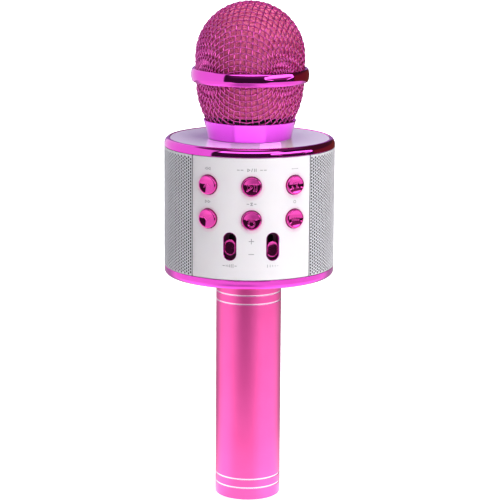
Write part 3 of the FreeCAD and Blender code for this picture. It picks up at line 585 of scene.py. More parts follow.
def socket_finish(node, half_width, low, high):
    """Plated shell round a black tongue, which lies between two heights above the shell's middle.
    The sizes are in millimetres."""
    box_low, box_high = box_mm(node)
    middle = (box_low + box_high) / 2 * MM
    margin = 0.05
    shade = Shade(f"{node}_finish")
    x, _, z = shade.axes()
    across = shade.math("ABSOLUTE", shade.math("SUBTRACT", x, middle.x))
    up = shade.math("SUBTRACT", z, middle.z)
    tongue = shade.product(
        shade.math("LESS_THAN", across, (half_width + margin) * MM),
        shade.math("GREATER_THAN", up, (low - margin) * MM),
        shade.math("LESS_THAN", up, (high + margin) * MM))
    stain = shade.noise(300, 3.0)
    metal = shade.blend(shade.span(stain, 0.3, 0.7, 0, 1), (0.62, 0.62, 0.62), (0.76, 0.76, 0.75))
    shade.set(Base_Color=shade.blend(tongue, metal, (0.012, 0.012, 0.013)))
    shade.set(Metallic=shade.math("SUBTRACT", 1.0, tongue))
    polish = shade.span(stain, 0.2, 0.8, 0.18, 0.30)
    shade.set(Roughness=shade.math("ADD", polish, shade.product(tongue, 0.2)))
    shade.bump(shade.noise(1200, 3.0), 0.1, 0.00002)
    return shade.material


def laminate():
    """Solder-masked circuit board with copper tracks under the mask."""
    shade = Shade("board_green")
    tracks = shade.add("ShaderNodeTexBrick", Vector=shade.where, Scale=160.0, Mortar_Size=0.03).outputs["Fac"]
    shade.set(Base_Color=shade.blend(tracks, (0.008, 0.09, 0.035), (0.03, 0.22, 0.09)), Roughness=0.32)
    shade.bump(tracks, 0.3, 0.00004)
    return shade.material


CHROME = chrome_pink("chrome_pink", (0.86, 0.080, 0.64), (0.90, 0.092, 0.70))
# Lit copy of the pink plating for the collar: a brighter, more violet colour with its reflected light painted
# in.
CHROME_COLLAR_PAINTED_REFLECTION = chrome_pink("chrome_collar_painted_reflection", (0.93, 0.11, 0.94), (0.97, 0.13, 0.98))
CHROME_BUTTON = chrome_pink("chrome_button", (0.78, 0.065, 0.40), (0.84, 0.080, 0.46))
BRIGHT_CUT = finish(
    "bright_cut_ring", (0.95, 0.62, 0.80), (0.98, 0.78, 0.90), (400, 2.0, 0.5, (0.05, 0.05, 12.0)), None,
    (0.18, 0.32), (0.3, 0.00002), (0.0, 1.0), Metallic=1.0).material
INK = finish(
    "panel_ink", (0.30, 0.29, 0.31), (0.42, 0.41, 0.43), (1800, 3.0), None, (0.5, 0.5),
    (0.1, 0.00002)).material
SILVER = finish(
    "grille_silver", (0.72, 0.72, 0.76), (0.78, 0.78, 0.82), (3500, 3.0, 0.6), None, (0.36, 0.5),
    (0.2, 0.00003), Metallic=0.25).material
ANODISED = anodised_pink()
MESH = mesh_pink()
FOAM = foam_pink()
WHITE = painted_white("panel_white")
GLOSS = gloss_white()
BLACK = moulded("black_plastic", (0.012, 0.012, 0.013), (0.022, 0.022, 0.024), 0.45)
DARK_SLOT = moulded("slot_black", (0.030, 0.006, 0.016), (0.045, 0.010, 0.024), 0.35)

# Material slots of the record. The moulded ones and the plated ones come from their tables below.
SLOT_MATERIALS = {
    "handle_anodised": ANODISED,
    "chrome_pink": CHROME,
    "mesh_pink": MESH,
    "foam_pink": FOAM,
    "panel_white": WHITE,
    "cover_white": GLOSS,
    "grille_silver": SILVER,
    "black_plastic": BLACK,
    "black_cloth": weave("black_cloth", (0.004, 0.004, 0.005), (0.02, 0.02, 0.022), 0.0006),
    "board_green": laminate(),
    "cell_wrap": moulded(
        "cell_wrap", (0.02, 0.13, 0.36), (0.03, 0.18, 0.45), 0.22, 900, 0.08, Coat_Weight=0.6),
    "led_lens": moulded(
        "led_lens", (0.70, 0.74, 0.78), (0.80, 0.84, 0.88), 0.15, 900, 0.05, Transmission_Weight=0.5),
}
MOULDED = {
    "black_rubber": ((0.014, 0.014, 0.014), (0.024, 0.023, 0.022), 0.7, 1800, 0.25),
    "chip_black": ((0.010, 0.010, 0.011), (0.020, 0.020, 0.021), 0.4),
    "cone_paper": ((0.012, 0.012, 0.012), (0.03, 0.03, 0.03), 0.75, 1600, 0.5),
    "foam_grey": ((0.05, 0.05, 0.055), (0.09, 0.09, 0.095), 0.9, 1500, 0.6),
    "lead_red": ((0.38, 0.008, 0.008), (0.50, 0.015, 0.012), 0.4),
    "ribbon_grey": ((0.42, 0.43, 0.45), (0.50, 0.51, 0.53)),
}
PLATED = {
    "steel": ((0.42, 0.42, 0.43), (0.58, 0.58, 0.59)),
    "socket_metal": ((0.55, 0.55, 0.55), (0.70, 0.70, 0.69), 0.24),
    "magnet_grey": ((0.06, 0.06, 0.065), (0.12, 0.12, 0.125), 0.45),
}
for make, table in ((moulded, MOULDED), (plated, PLATED)):
    SLOT_MATERIALS.update({name: make(name, *values) for name, values in table.items()})
for part in frame["record"]["subparts"]:
    materials = frame["nodes"][part["node"]].data.materials
    if not materials:
        materials.append(None)
    for i in range(len(materials)):
        materials[i] = SLOT_MATERIALS[part["material_slot"]]
for socket, half_width, low, high in (("usb_socket", 5.6, 0.2, 2.0), ("charge_socket", 1.9, 0.1, 0.7)):
    frame["nodes"][socket].data.materials[0] = socket_finish(socket, half_width, low, high)


# ---- Handle ----

RING_HEIGHTS = (5.95, 10.2, 95.65, 99.85)
RING_WIDTH = 0.8
RING_DEPTH = 0.2
TUBE_WALL = 1.5


def build_handle():
    inner = HANDLE_R - TUBE_WALL
    deep = HANDLE_R - RING_DEPTH
    half, slope = RING_WIDTH / 2, 0.12
    outline = [(inner, 0, 0.1), (HANDLE_R, 0, 0.9)]
    for z in RING_HEIGHTS:
        outline += [(HANDLE_R, z - half, 0.06), (deep, z - half + slope, 0.05)]
        outline += [(deep, z + half - slope, 0.05), (HANDLE_R, z + half, 0.06)]
    outline += [(HANDLE_R, tube_high.z, 0.2), (inner, tube_high.z, 0.1)]

    def slot(a, b):
        middle = (a[0] + b[0]) / 2
        return 1 if inner + 0.5 < middle < HANDLE_R - 0.02 and a[1] > 2 and b[1] < tube_high.z - 2 else 0

    finishes = [ANODISED, BRIGHT_CUT]
    turned("handle_tube_skin", outline, 4, finishes, "case", "handle_anodised", "handle_tube", slot_of=slot)
    r = inner - 0.02
    outline = [
        (0, 0, 0), (4.0, 0, 0), (4.3, 0.35, 0.1), (9.6, 0.35, 0.1), (9.9, 0, 0.05), (r, 0, 0.35),
        (r, 6.0, 0.2), (r - 2.0, 6.0, 0.2), (r - 2.0, 2.0, 0.5), (0, 2.0, 0),
    ]
    turned("handle_end_cap", outline, 4, [BLACK], "case", "black_plastic", "end_cap")


# ---- Drum rims, panels and grilles ----

SCREW_CIRCLE_R = 28.0
SCREW_BORE_R = 2.8
SCREW_BORE_DEPTH = 1.4
DISC_BORE_R = 16.2


def bore(piece, places, radius, low, high):
    """Bores flat-bottomed holes straight up into a piece."""
    tools = []
    for x, y in places:
        ring = circle_loop(x, y, radius, 48)
        tools.append(through("tool", [[(a, b, z) for a, b in ring] for z in (low, high)], []))
    tool = join("tool_all", tools)
    modifier = piece.modifiers.new("holes", "BOOLEAN")
    modifier.operation = "DIFFERENCE"
    modifier.solver = "EXACT"
    modifier.object = tool
    bpy.context.view_layer.update()
    graph = bpy.context.evaluated_depsgraph_get()
    cut = bpy.data.meshes.new_from_object(piece.evaluated_get(graph), depsgraph=graph)
    piece.modifiers.clear()
    piece.data = cut
    bpy.data.objects.remove(tool)
    weighted(piece)


def build_lower_rim():
    wall = DRUM_R - COVER_WALL
    hole = HANDLE_R + 0.1
    top = cover_high.z
    lower = lathe("lower_rim", rounded([
        (hole, DRUM_BOTTOM, 0.15), (DRUM_R, DRUM_BOTTOM, 3.0), (DRUM_R, top, 0.18),
        (wall, top, 0.1), (wall, tube_high.z, 0.2), (hole, tube_high.z, 0.1),
    ], 8), [CHROME])
    angles = [math.radians(45 + 90 * i) for i in range(4)]
    places = [(SCREW_CIRCLE_R * math.sin(angle), -SCREW_CIRCLE_R * math.cos(angle)) for angle in angles]
    bore(lower, places, SCREW_BORE_R, DRUM_BOTTOM - 1, DRUM_BOTTOM + SCREW_BORE_DEPTH)
    fit(lower, "case", "chrome_pink", "bottom_cover")


def build_top():
    """Upper rim, with a long elliptical curve to its crest, and the white disc inside it."""
    wall = DRUM_R - COVER_WALL
    inner = DRUM_R - 2.5
    seat = TOP_FACE - 2.0
    start, crest = bezel_low.z, bezel_high.z
    crest_inset, shoulder = 2.3, start + 1.0
    outline = [(wall, start, 0.1), (DRUM_R, start, 0.18)]
    for k in range(19):
        angle = math.radians(86 * k / 18)
        r = DRUM_R - crest_inset * (1 - math.cos(angle))
        outline.append((r, shoulder + (crest - shoulder) * math.sin(angle), 0))
    outline += [(inner + 0.12, crest - 0.02, 0.08), (inner, crest - 0.2, 0.08)]
    outline += [(inner, seat, 0.1), (wall, seat, 0.1)]
    turned("upper_rim", outline, 6, [CHROME], "case", "chrome_pink", "top_bezel")

    r, low = disc_high.x - 0.02, disc_low.z
    outline = [(r, TOP_FACE, 0.35), (r, low, 0.1), (DISC_BORE_R, low, 0.1), (DISC_BORE_R, TOP_FACE, 0.2)]
    turned("top_disc", outline, 4, [GLOSS], "case", "cover_white", "top_cover")


BUTTON_NAMES = [n for n in frame["nodes"] if n.startswith("button_") and n != "button_switches"]
BUTTON_COLUMN = 29.5
BUTTON_R = 4.4
BUTTON_HOLE_R = 4.65
SLIDER_AZIMUTH = 14.2
TRIM_WALL = 0.3
SLOT_WIDTH = 5.6
SLOT_LENGTH = 12.5
trims_low, trims_high = box_mm("slider_trims")
SLOT_Z = (trims_low.z + trims_high.z) / 2


def button_spot(name):
    """Azimuth and height of a button."""
    low, high = box_mm(name)
    middle = (low.x + high.x) / 2
    side = 0 if abs(middle) < 3 else math.copysign(1, middle)
    return side * BUTTON_COLUMN, (low.z + high.z) / 2


def build_panel(node, azimuth, holes, material):
    half = math.radians(PANEL_HALF_ANGLE) * DRUM_R
    outer = dense(rectangle_loop(0, BAND_HEIGHT / 2, 2 * half, BAND_HEIGHT, 0.3, 3), 1.6)
    place = wrap(azimuth, BAND_LOW)
    panel = plate(f"{node}_skin", place, outer, holes, COVER_WALL, [material], edge=0.18, grid=1.3)
    fit(panel, "case", "panel_white", node)


def build_front_panel():
    holes, spots = [], []
    for name in BUTTON_NAMES:
        azimuth, z = button_spot(name)
        holes.append(circle_loop(math.radians(azimuth) * DRUM_R, z - BAND_LOW, BUTTON_HOLE_R, 64))
        # Centre of the painted pink glow that stands in for this button's light on the panel.
        spots.append(Vector(wrap(azimuth, z)(0, DRUM_R, -0.3)) * MM)
    for side in (-1, 1):
        s = math.radians(side * SLIDER_AZIMUTH) * DRUM_R
        width, length = SLOT_WIDTH + 2 * TRIM_WALL, SLOT_LENGTH + 2 * TRIM_WALL
        holes.append(dense(stadium_loop(s, SLOT_Z - BAND_LOW, width, length), 0.8))
    build_panel("front_panel", 0, holes, painted_white("panel_white_front", spots))


def build_rear_panel():
    """Panel with an opening for each socket, for the switch's cap and for the charge light."""
    def spot(node):
        low, high = box_mm(node)
        middle = (low + high) / 2
        return math.asin(-middle.x / DRUM_R) * DRUM_R, middle.z - BAND_LOW

    def size(node, gap_across, gap_up):
        low, high = box_mm(node)
        return high.x - low.x + gap_across, high.z - low.z + gap_up

    openings = [
        (spot("usb_socket"), size("usb_socket", 0.3, 0.3), 0.5),
        (spot("charge_socket"), size("charge_socket", 0.7, 0.5), 0.9),
        (spot("card_slot"), (12.2, 1.8), 0.4),
        ((0, spot("power_switch")[1]), (7.2, 3.5), 0.5),
    ]
    holes = [dense(rectangle_loop(*middle, *sides, radius), 1.2) for middle, sides, radius in openings]
    holes.append(circle_loop(*spot("audio_jack"), 3.1, 48))
    holes.append(circle_loop(*spot("charge_led"), 1.05, 28))
    build_panel("rear_panel", 180, holes, WHITE)


PUNCH_PITCH_UP = 1.46
PUNCH_PITCH_ACROSS = 1.265
PUNCH_R = 0.56
SHEET_WALL = 0.25
SEAM_ANGLE = 0.75
PUNCH_MARGIN = 0.75


def build_side_grilles():
    """Sheets punched with a staggered pattern of fine holes."""
    half = math.radians(90 - PANEL_HALF_ANGLE - SEAM_ANGLE) * DRUM_R
    columns = int((2 * half - 1.4) / PUNCH_PITCH_ACROSS)
    outer = dense(rectangle_loop(0, BAND_HEIGHT / 2, 2 * half, BAND_HEIGHT, 0.1, 1), 1.3)
    holes = []
    for i in range(columns + 1):
        s = (i - columns / 2) * PUNCH_PITCH_ACROSS
        lift = PUNCH_PITCH_UP / 2 if i % 2 else 0.0
        rows = int((BAND_HEIGHT - 2 * PUNCH_MARGIN - lift) / PUNCH_PITCH_UP)
        for j in range(rows + 1):
            holes.append(circle_loop(s, PUNCH_MARGIN + lift + j * PUNCH_PITCH_UP, PUNCH_R, 10))
    for node, azimuth in (("left_grille", -90), ("right_grille", 90)):
        sheet = plate(f"{node}_sheet", wrap(azimuth, BAND_LOW), outer, holes, SHEET_WALL, [SILVER])
        fit(sheet, "case", "grille_silver", node)


# ---- Buttons and sliders ----

def stroke_distance(x, y, strokes):
    """Distance from a point to the nearest line of a sign."""
    best = 1e9
    for (x0, y0), (x1, y1) in strokes:
        dx, dy = x1 - x0, y1 - y0
        t = ((x - x0) * dx + (y - y0) * dy) / (dx * dx + dy * dy or 1.0)
        t = max(0.0, min(1.0, t))
        best = min(best, math.hypot(x - x0 - t * dx, y - y0 - t * dy))
    return best


def line(*points):
    """Strokes from each point to the next."""
    return list(zip(points, points[1:]))


def hoop(x, y, radius, count=20):
    loop = circle_loop(x, y, radius, count)
    return line(*loop, loop[0])


SIGNS = {
    "button_previous": line((-1.5, -0.9), (0, 0.8), (1.5, -0.9)),
    "button_next": line((-1.5, 0.8), (0, -0.9), (1.5, 0.8)),
    "button_play": line((-2.1, -1.9), (-2.1, 1.2), (0.1, -0.35), (-2.1, -1.9))
    + line((1.0, 1.2), (1.0, -1.9)) + line((2.1, 1.2), (2.1, -1.9)),
    "button_mic": hoop(0, -1.5, 1.35) + line((-2.3, 0.5), (2.3, 0.5)),
    "button_music": line((-1.2, -1.0), (-1.2, 1.3), (1.3, 1.6), (1.3, -0.7))
    + hoop(-1.7, -1.0, 0.45, 12) + hoop(0.8, -0.7, 0.45, 12),
    "button_record": line((-1.8, 0.6), (1.8, 0.6)) + line((-1.8, -0.6), (1.8, -0.6)),
}
SIGN_DEPTH = 0.16
SIGN_HALF_WIDTH = 0.22
SIGN_SLOPE = 0.18
CAP_EDGE_R = 0.6
CAP_TILT = math.radians(14)
FLANGE_R = 5.5
FLANGE_FRONT = 37.3
FLANGE_BACK = 36.5
STEM_R = 1.7
STEM_CHAMFER = 0.25


def sink(u, v, strokes):
    """Depth of a sign's engraving at a point."""
    share = (SIGN_HALF_WIDTH + SIGN_SLOPE / 2 - stroke_distance(u, v, strokes)) / SIGN_SLOPE
    share = max(0.0, min(1.0, share))
    return SIGN_DEPTH * share * share * (3 - 2 * share)


def cap_profile(crest, rings=44):
    """(radius, reach) points from the middle of a cap's dish to its flange, and the number in the dish."""
    rim_r = BUTTON_R - CAP_EDGE_R
    edge_reach = crest - CAP_EDGE_R
    join_r = rim_r - CAP_EDGE_R * math.sin(CAP_TILT)
    bend = join_r / math.sin(CAP_TILT)
    middle = edge_reach + CAP_EDGE_R * math.cos(CAP_TILT) - bend * (1 - math.cos(CAP_TILT))
    dish = [join_r * i / rings for i in range(rings + 1)]
    profile = [(r, middle + bend - math.sqrt(bend ** 2 - r ** 2)) for r in dish]
    for k in range(1, 13):
        angle = -CAP_TILT + (math.pi / 2 + CAP_TILT) * k / 12
        profile.append((rim_r + CAP_EDGE_R * math.sin(angle), edge_reach + CAP_EDGE_R * math.cos(angle)))
    bevel, stem_r = 0.1, STEM_R + 0.05
    profile += [
        (BUTTON_R, FLANGE_FRONT + bevel), (FLANGE_R - bevel, FLANGE_FRONT), (FLANGE_R, FLANGE_FRONT - bevel),
        (FLANGE_R, FLANGE_BACK + bevel), (FLANGE_R - bevel, FLANGE_BACK), (stem_r, FLANGE_BACK),
        (stem_r, FLANGE_BACK - bevel),
    ]
    return profile, rings


def build_button(name):
    """Cap with an engraved sign in its dish, a flange behind the panel and a stem."""
    azimuth, z = button_spot(name)
    place = facing(azimuth, z)
    strokes = SIGNS[name]
    profile, dished = cap_profile(-box_mm("button_play")[0].y)
    sectors = 144
    middle = profile[0][1]
    points = [place(0, middle - sink(0, 0, strokes), 0)]
    for i, (r, reach) in enumerate(profile[1:]):
        for u, v in circle_loop(0, 0, r, sectors):
            points.append(place(u, reach - (sink(u, v, strokes) if i < dished else 0.0), v))
    faces = [(0, 1 + k, 1 + (k + 1) % sectors) for k in range(sectors)]
    starts = range(1, len(points), sectors)
    for a, b in zip(starts, starts[1:]):
        faces += strip(range(a, a + sectors), range(b, b + sectors))
    faces.append(tuple(range(starts[-1], len(points))))
    cap = face_out(new_object("cap", points, faces, [CHROME_BUTTON], smooth_angle=50))
    cap = join(f"{name}_cap.001", [cap, build_stem(name, azimuth, z)])
    fit(cap, body_of_node(name), "chrome_pink", name)


def build_stem(name, azimuth, z):
    back = box_mm(name)[1].y
    x = FLANGE_BACK * math.sin(math.radians(azimuth))
    front = -(FLANGE_BACK + 0.2) * math.cos(math.radians(azimuth))
    sections = ((front, STEM_R), (back - 0.3, STEM_R), (back, STEM_R - STEM_CHAMFER))
    rings = [[(a, y, b) for a, b in circle_loop(x, z, r, 32)] for y, r in sections]
    return through("stem", rings, [CHROME_BUTTON])


SLOT_DEPTH = 3.7
SLOT_FLOOR = DRUM_R - SLOT_DEPTH
LINING_BACK = SLOT_FLOOR - 0.8
SLIT_WIDTH = 2.8
SLIT_LENGTH = 9.8
KNOB_WIDTH = 5.1
KNOB_TOP = DRUM_R - 0.6
KNOB_BASE = DRUM_R - 3.5
LEVER_REACH = DRUM_R - 3.1


def build_lining(azimuth):
    """Plated lining of a slot, with the lever's slit in its dark floor."""
    place = facing(azimuth, SLOT_Z)

    def around(inset, outer=0.0):
        width, length = SLOT_WIDTH + 2 * outer - 2 * inset, SLOT_LENGTH + 2 * outer - 2 * inset
        return stadium_loop(0, 0, width, length, 20)

    def level(loop, reach):
        return [place(s, reach, h) for s, h in loop]

    def rim(loop, lower):
        """Follows the drum's curve."""
        return [place(s, math.sqrt(DRUM_R ** 2 - s * s) - lower, h) for s, h in loop]

    half = SLIT_LENGTH / 2
    slit = [(s * SLIT_WIDTH / SLOT_WIDTH, max(-half, min(half, h * 0.86))) for s, h in around(0)]
    outer_loop = around(0.01, TRIM_WALL)
    rings = [
        level(outer_loop, LINING_BACK), rim(outer_loop, 0.12), rim(around(0.08, TRIM_WALL), 0.02),
        rim(around(-0.08), 0.02), rim(around(0), 0.12), level(around(0), SLOT_FLOOR + 0.25),
        level(around(0.25), SLOT_FLOOR), level(slit, SLOT_FLOOR), level(slit, LINING_BACK),
    ]
    slots = [0, 0, 0, 0, 0, 1, 1, 1, 1]
    return through("lining", rings, [CHROME, DARK_SLOT], slots, hollow=True)


def build_knob(node, azimuth):
    """Knob with a narrow raised lip round a flat top, and the lever behind it."""
    low, high = box_mm(node)
    middle = (low.z + high.z) / 2
    place = facing(azimuth, middle)
    back = KNOB_TOP - KNOB_BASE
    levels = (
        (0.12, back), (0.0, back - 0.12), (0.0, 0.2), (0.0, 0.12), (0.03, 0.04), (0.1, 0), (0.2, 0),
        (0.27, 0.03), (0.3, 0.1), (0.33, 0.17), (0.38, 0.2), (0.44, 0.205), (1.0, 0.22), (1.6, 0.23),
        (2.2, 0.24), (2.5, 0.24),
    )
    rings = []
    for inset, depth in levels:
        loop = stadium_loop(0, 0, KNOB_WIDTH - 2 * inset, high.z - low.z - 2 * inset, 20)
        rings.append([place(s, KNOB_TOP - depth, h) for s, h in loop])
    knob = through("knob", rings, [CHROME_BUTTON])

    x = LEVER_REACH * math.sin(math.radians(azimuth))
    front = -KNOB_BASE * math.cos(math.radians(azimuth)) - 0.3
    corners = [(x + side * 0.8, middle + rise * 1.1) for side, rise in ((-1, -1), (1, -1), (1, 1), (-1, 1))]
    lever = through("lever", [[(a, y, b) for a, b in corners] for y in (front, high.y)], [CHROME_BUTTON])
    knob = weighted(join(f"{node}_cap.001", [knob, lever]))
    fit(knob, body_of_node(node), "chrome_pink", node)


def build_sliders():
    sides = (("left_slider_knob", -SLIDER_AZIMUTH), ("right_slider_knob", SLIDER_AZIMUTH))
    for node, azimuth in sides:
        build_knob(node, azimuth)
    linings = [build_lining(azimuth) for _, azimuth in sides]
    fit(join("slot_linings", linings), "case", "chrome_pink", "slider_trims")


# ---- Printed marks ----

def capsule_loop(a, b, half, steps=5):
    """Outline of a short line with round ends."""
    direction = math.atan2(b[1] - a[1], b[0] - a[0])
    first = arc(*b, half, direction - math.pi / 2, math.pi, steps)
    return first + arc(*a, half, direction + math.pi / 2, math.pi, steps)


def moved(strokes, by, flip=1):
    return [((a[0] * flip + by, a[1]), (b[0] * flip + by, b[1])) for a, b in strokes]


def print_sign(azimuth, z, strokes, half):
    """Thin ink solids in the panel's face, one for each stroke."""
    place = wrap(azimuth, z)
    made = []
    for i, (a, b) in enumerate(strokes):
        loop = dense(capsule_loop(a, b, half), 0.4)
        # Strokes that cross lie at slightly different heights.
        top = DRUM_R + 0.012 + 0.002 * (i % 4)
        rings = [[place(s, reach, h) for s, h in loop] for reach in (DRUM_R - 0.1, top)]
        made.append(through("mark", rings, [INK]))
    return made


def build_marks():
    """Plus, minus and small plain signs printed on the front panel."""
    bold, middling, thin, faint = 0.17, 0.16, 0.13, 0.12
    upper, lower, foot = 163.5, 148.0, 119.3
    minus = line((-1.1, 0), (1.1, 0))
    plus = minus + line((0, -1.1), (0, 1.1))
    triangle = line((-0.5, 0.6), (-0.5, -0.6), (0.6, 0), (-0.5, 0.6))
    bars = line((-0.35, 0.6), (-0.35, -0.6)) + line((0.35, 0.6), (0.35, -0.6))
    dashes = [stroke for x in (-6.6, -4.9, 3.9, 5.6) for stroke in line((x, 0), (x + 1.0, 0))]
    play_sign = dashes + moved(triangle, -1.4) + line((-0.1, -0.6), (0.3, 0.6)) + moved(bars, 1.6)
    voice = line((-0.35, 0.1), (-0.35, 0.55), (0.35, 0.55), (0.35, 0.1), (-0.35, 0.1))
    voice += line((0, 0.1), (0, -0.6)) + line((-0.5, -0.6), (0.5, -0.6))
    voice += line((-2.1, 0), (-1.2, 0)) + line((1.2, 0), (2.1, 0))
    three_dashes = line((-1.6, 0), (-0.7, 0)) + line((-0.3, 0), (0.3, 0)) + line((0.7, 0), (1.6, 0))
    waves, echo = [], []
    for k in range(5):
        swell, fade = 0.25 + 0.13 * k, 0.6 - 0.12 * k
        waves += line((-1.6 + 0.8 * k, -swell), (-1.6 + 0.8 * k, swell))
        echo += line((-2.4 + 1.2 * k, -fade), (-2.4 + 1.2 * k, fade))
    waves += line((-3.2, 0), (-2.4, 0)) + line((2.4, 0), (3.2, 0))
    signs = [
        (0, 130.8, plus, bold), (0, 124.8, minus, bold), (0, upper, play_sign, bold),
        (0, lower, voice, middling), (BUTTON_COLUMN, upper, three_dashes, faint),
        (BUTTON_COLUMN, lower + 0.3, hoop(0, 0, 0.6, 14), faint),
        (-SLIDER_AZIMUTH, foot, waves, bold), (SLIDER_AZIMUTH, foot, echo, thin),
    ]
    for z, flip in ((upper, -1), (lower + 0.3, 1)):
        signs.append((-BUTTON_COLUMN, z, moved(triangle, -0.9, flip) + moved(triangle, 0.6, flip), faint))
    marks = [mark for sign in signs for mark in print_sign(*sign)]
    fit(join("panel_marks", marks), "case", "panel_white")


# ---- Head ----

WIRE_R = 0.32
CRIMP = 0.26
PITCH = 2.75
MESH_INSET = WIRE_R + CRIMP
BOWL_R = 25.3
BOWL_ARC = 37.5
BOWL_TOP_Z = 199.0
BOWL_RIM_Z = BAND_MIDDLE - 0.1
BOWL_LIMIT = math.radians(97)


def fishnet(ball_r, limit):
    """Square mesh draped on a ball from its pole: every cell keeps four equal sides.
    Returns {(i, j): unit vector} with z towards the pole, and one ring of nodes past the limit angle."""
    step = 2 * math.asin(PITCH / ball_r / 2)
    count = int(limit / step) + 3
    quarter = {(0, 0): Vector((0, 0, 1))}
    for i in range(1, count):
        quarter[(i, 0)] = Vector((math.sin(i * step), 0, math.cos(i * step)))
        quarter[(0, i)] = Vector((0, math.sin(i * step), math.cos(i * step)))
    for i in range(1, count):
        for j in range(1, count):
            a, b, c = quarter.get((i - 1, j)), quarter.get((i, j - 1)), quarter.get((i - 1, j - 1))
            if not (a and b and c):
                continue
            if min(a.z, b.z) < math.cos(limit + 1.6 * step) or (a - b).length < 0.2 * step:
                continue
            normal = a.cross(b).normalized()
            quarter[(i, j)] = (c - 2 * c.dot(normal) * normal).normalized()
    nodes = {}
    for (i, j), p in quarter.items():
        for si in (1, -1):
            for sj in (1, -1):
                nodes[(si * i, sj * j)] = Vector((si * p.x, sj * p.y, p.z))
    return nodes


def wire_runs(nodes, limit, family):
    """Node chains of one set of wires, cut where they leave the limit angle."""
    edge = math.cos(limit)
    chains = []
    reach = max(max(abs(i), abs(j)) for i, j in nodes)
    for fixed in range(-reach, reach + 1):
        run = []
        for k in range(-reach, reach + 2):
            key, before = ((k, fixed), (k - 1, fixed)) if family == 0 else ((fixed, k), (fixed, k - 1))
            if key in nodes and nodes[key].z >= edge:
                if not run and before in nodes:
                    run.append(before)
                run.append(key)
            elif run:
                if key in nodes:
                    run.append(key)
                if len(run) > 2:
                    chains.append(run)
                run = []
    return chains


def woven(name, ball_r, limit, spin_degrees, surface, parts=6):
    """Woven wire tubes over a surface of revolution. surface(angle) gives (radius, height, normal)."""
    nodes = fishnet(ball_r, limit)
    spin = Matrix.Rotation(math.radians(spin_degrees), 3, "Z")
    points, faces = [], []
    for family in (0, 1):
        for run in wire_runs(nodes, limit, family):
            path = []
            for here, there in zip(run, run[1:]):
                side = -1 if (sum(here) + family) % 2 else 1
                for k in range(parts):
                    lift = side * math.cos(math.pi * k / parts) * CRIMP
                    path.append((nodes[here].slerp(nodes[there], k / parts), lift))
            path.append((nodes[run[-1]], -CRIMP if (sum(run[-1]) + family) % 2 else CRIMP))
            spine = []
            for direction, lift in path:
                angle = math.acos(max(-1.0, min(1.0, direction.z)))
                if angle > limit:
                    continue
                turned = spin @ direction
                flat = Vector((turned.x, turned.y, 0))
                flat = flat.normalized() if flat.length > 1e-9 else Vector((1, 0, 0))
                r, z, nr, nz = surface(angle)
                normal = Vector((flat.x * nr, flat.y * nr, nz))
                spine.append((Vector((flat.x * r, flat.y * r, z)) + normal * lift, normal))
            add_wire(points, faces, spine)
    return new_object(name, points, faces, [MESH], smooth_angle=80)


def add_wire(points, faces, spine, sides=8):
    """Round wire along a spine of (point, surface normal)."""
    count = len(spine)
    if count < 4:
        return
    rings = []
    for n, (centre, normal) in enumerate(spine):
        ahead = spine[min(n + 1, count - 1)][0] - spine[max(n - 1, 0)][0]
        along = ahead.normalized()
        side = along.cross(normal).normalized()
        up = side.cross(along)
        rings.append(range(len(points), len(points) + sides))
        points += [centre + side * a + up * b for a, b in circle_loop(0, 0, WIRE_R, sides)]
    for ring, following in zip(rings, rings[1:]):
        faces += strip(ring, following)
    faces += [tuple(reversed(rings[0])), tuple(rings[-1])]


def dome_surface(angle):
    """Ball down to its widest point, then straight into the band."""
    r = DOME_R - MESH_INSET
    if angle <= math.pi / 2:
        return r * math.sin(angle), DOME_Z + r * math.cos(angle), math.sin(angle), math.cos(angle)
    return r, DOME_Z - r * (angle - math.pi / 2), 1.0, 0.0


def bowl_surface(angle):
    """Lower half: straight under the band, then curving in towards the collar. The pole is below."""
    down = BOWL_R * (BOWL_LIMIT - max(angle, math.radians(45)))
    straight = BOWL_RIM_Z - BOWL_TOP_Z
    if down <= straight:
        return BOWL_R - MESH_INSET, BOWL_RIM_Z - down, 1.0, 0.0
    turn = (down - straight) / BOWL_ARC
    return *bowl_point(turn, MESH_INSET), math.cos(turn), -math.sin(turn)


def bowl_point(turn, depth):
    """(radius, height) on the bowl's curve at a depth inside it."""
    reach = BOWL_ARC - depth
    return BOWL_R - BOWL_ARC + reach * math.cos(turn), BOWL_TOP_Z - reach * math.sin(turn)


def build_grilles():
    dome_limit = math.pi / 2 + (DOME_Z - BAND_MIDDLE - 0.1) / DOME_R
    dome = woven("dome_wires", DOME_R - MESH_INSET, dome_limit, -12.0, dome_surface)
    fit(face_out(dome), "head", "mesh_pink", "grille_dome")
    bowl = woven("basket_wires", BOWL_R, BOWL_LIMIT, -6.0, bowl_surface)
    trim_below(bowl, basket_low.z)
    fit(face_out(bowl), "head", "mesh_pink", "grille_basket")


def trim_below(piece, z):
    """Cuts the wires off level at a height and closes their ends."""
    work = bmesh.new()
    work.from_mesh(piece.data)
    everything = work.verts[:] + work.edges[:] + work.faces[:]
    bmesh.ops.bisect_plane(
        work, geom=everything, plane_co=(0, 0, z * MM), plane_no=(0, 0, -1), clear_outer=True)
    bmesh.ops.holes_fill(work, edges=[edge for edge in work.edges if edge.is_boundary])
    work.to_mesh(piece.data)
    work.free()


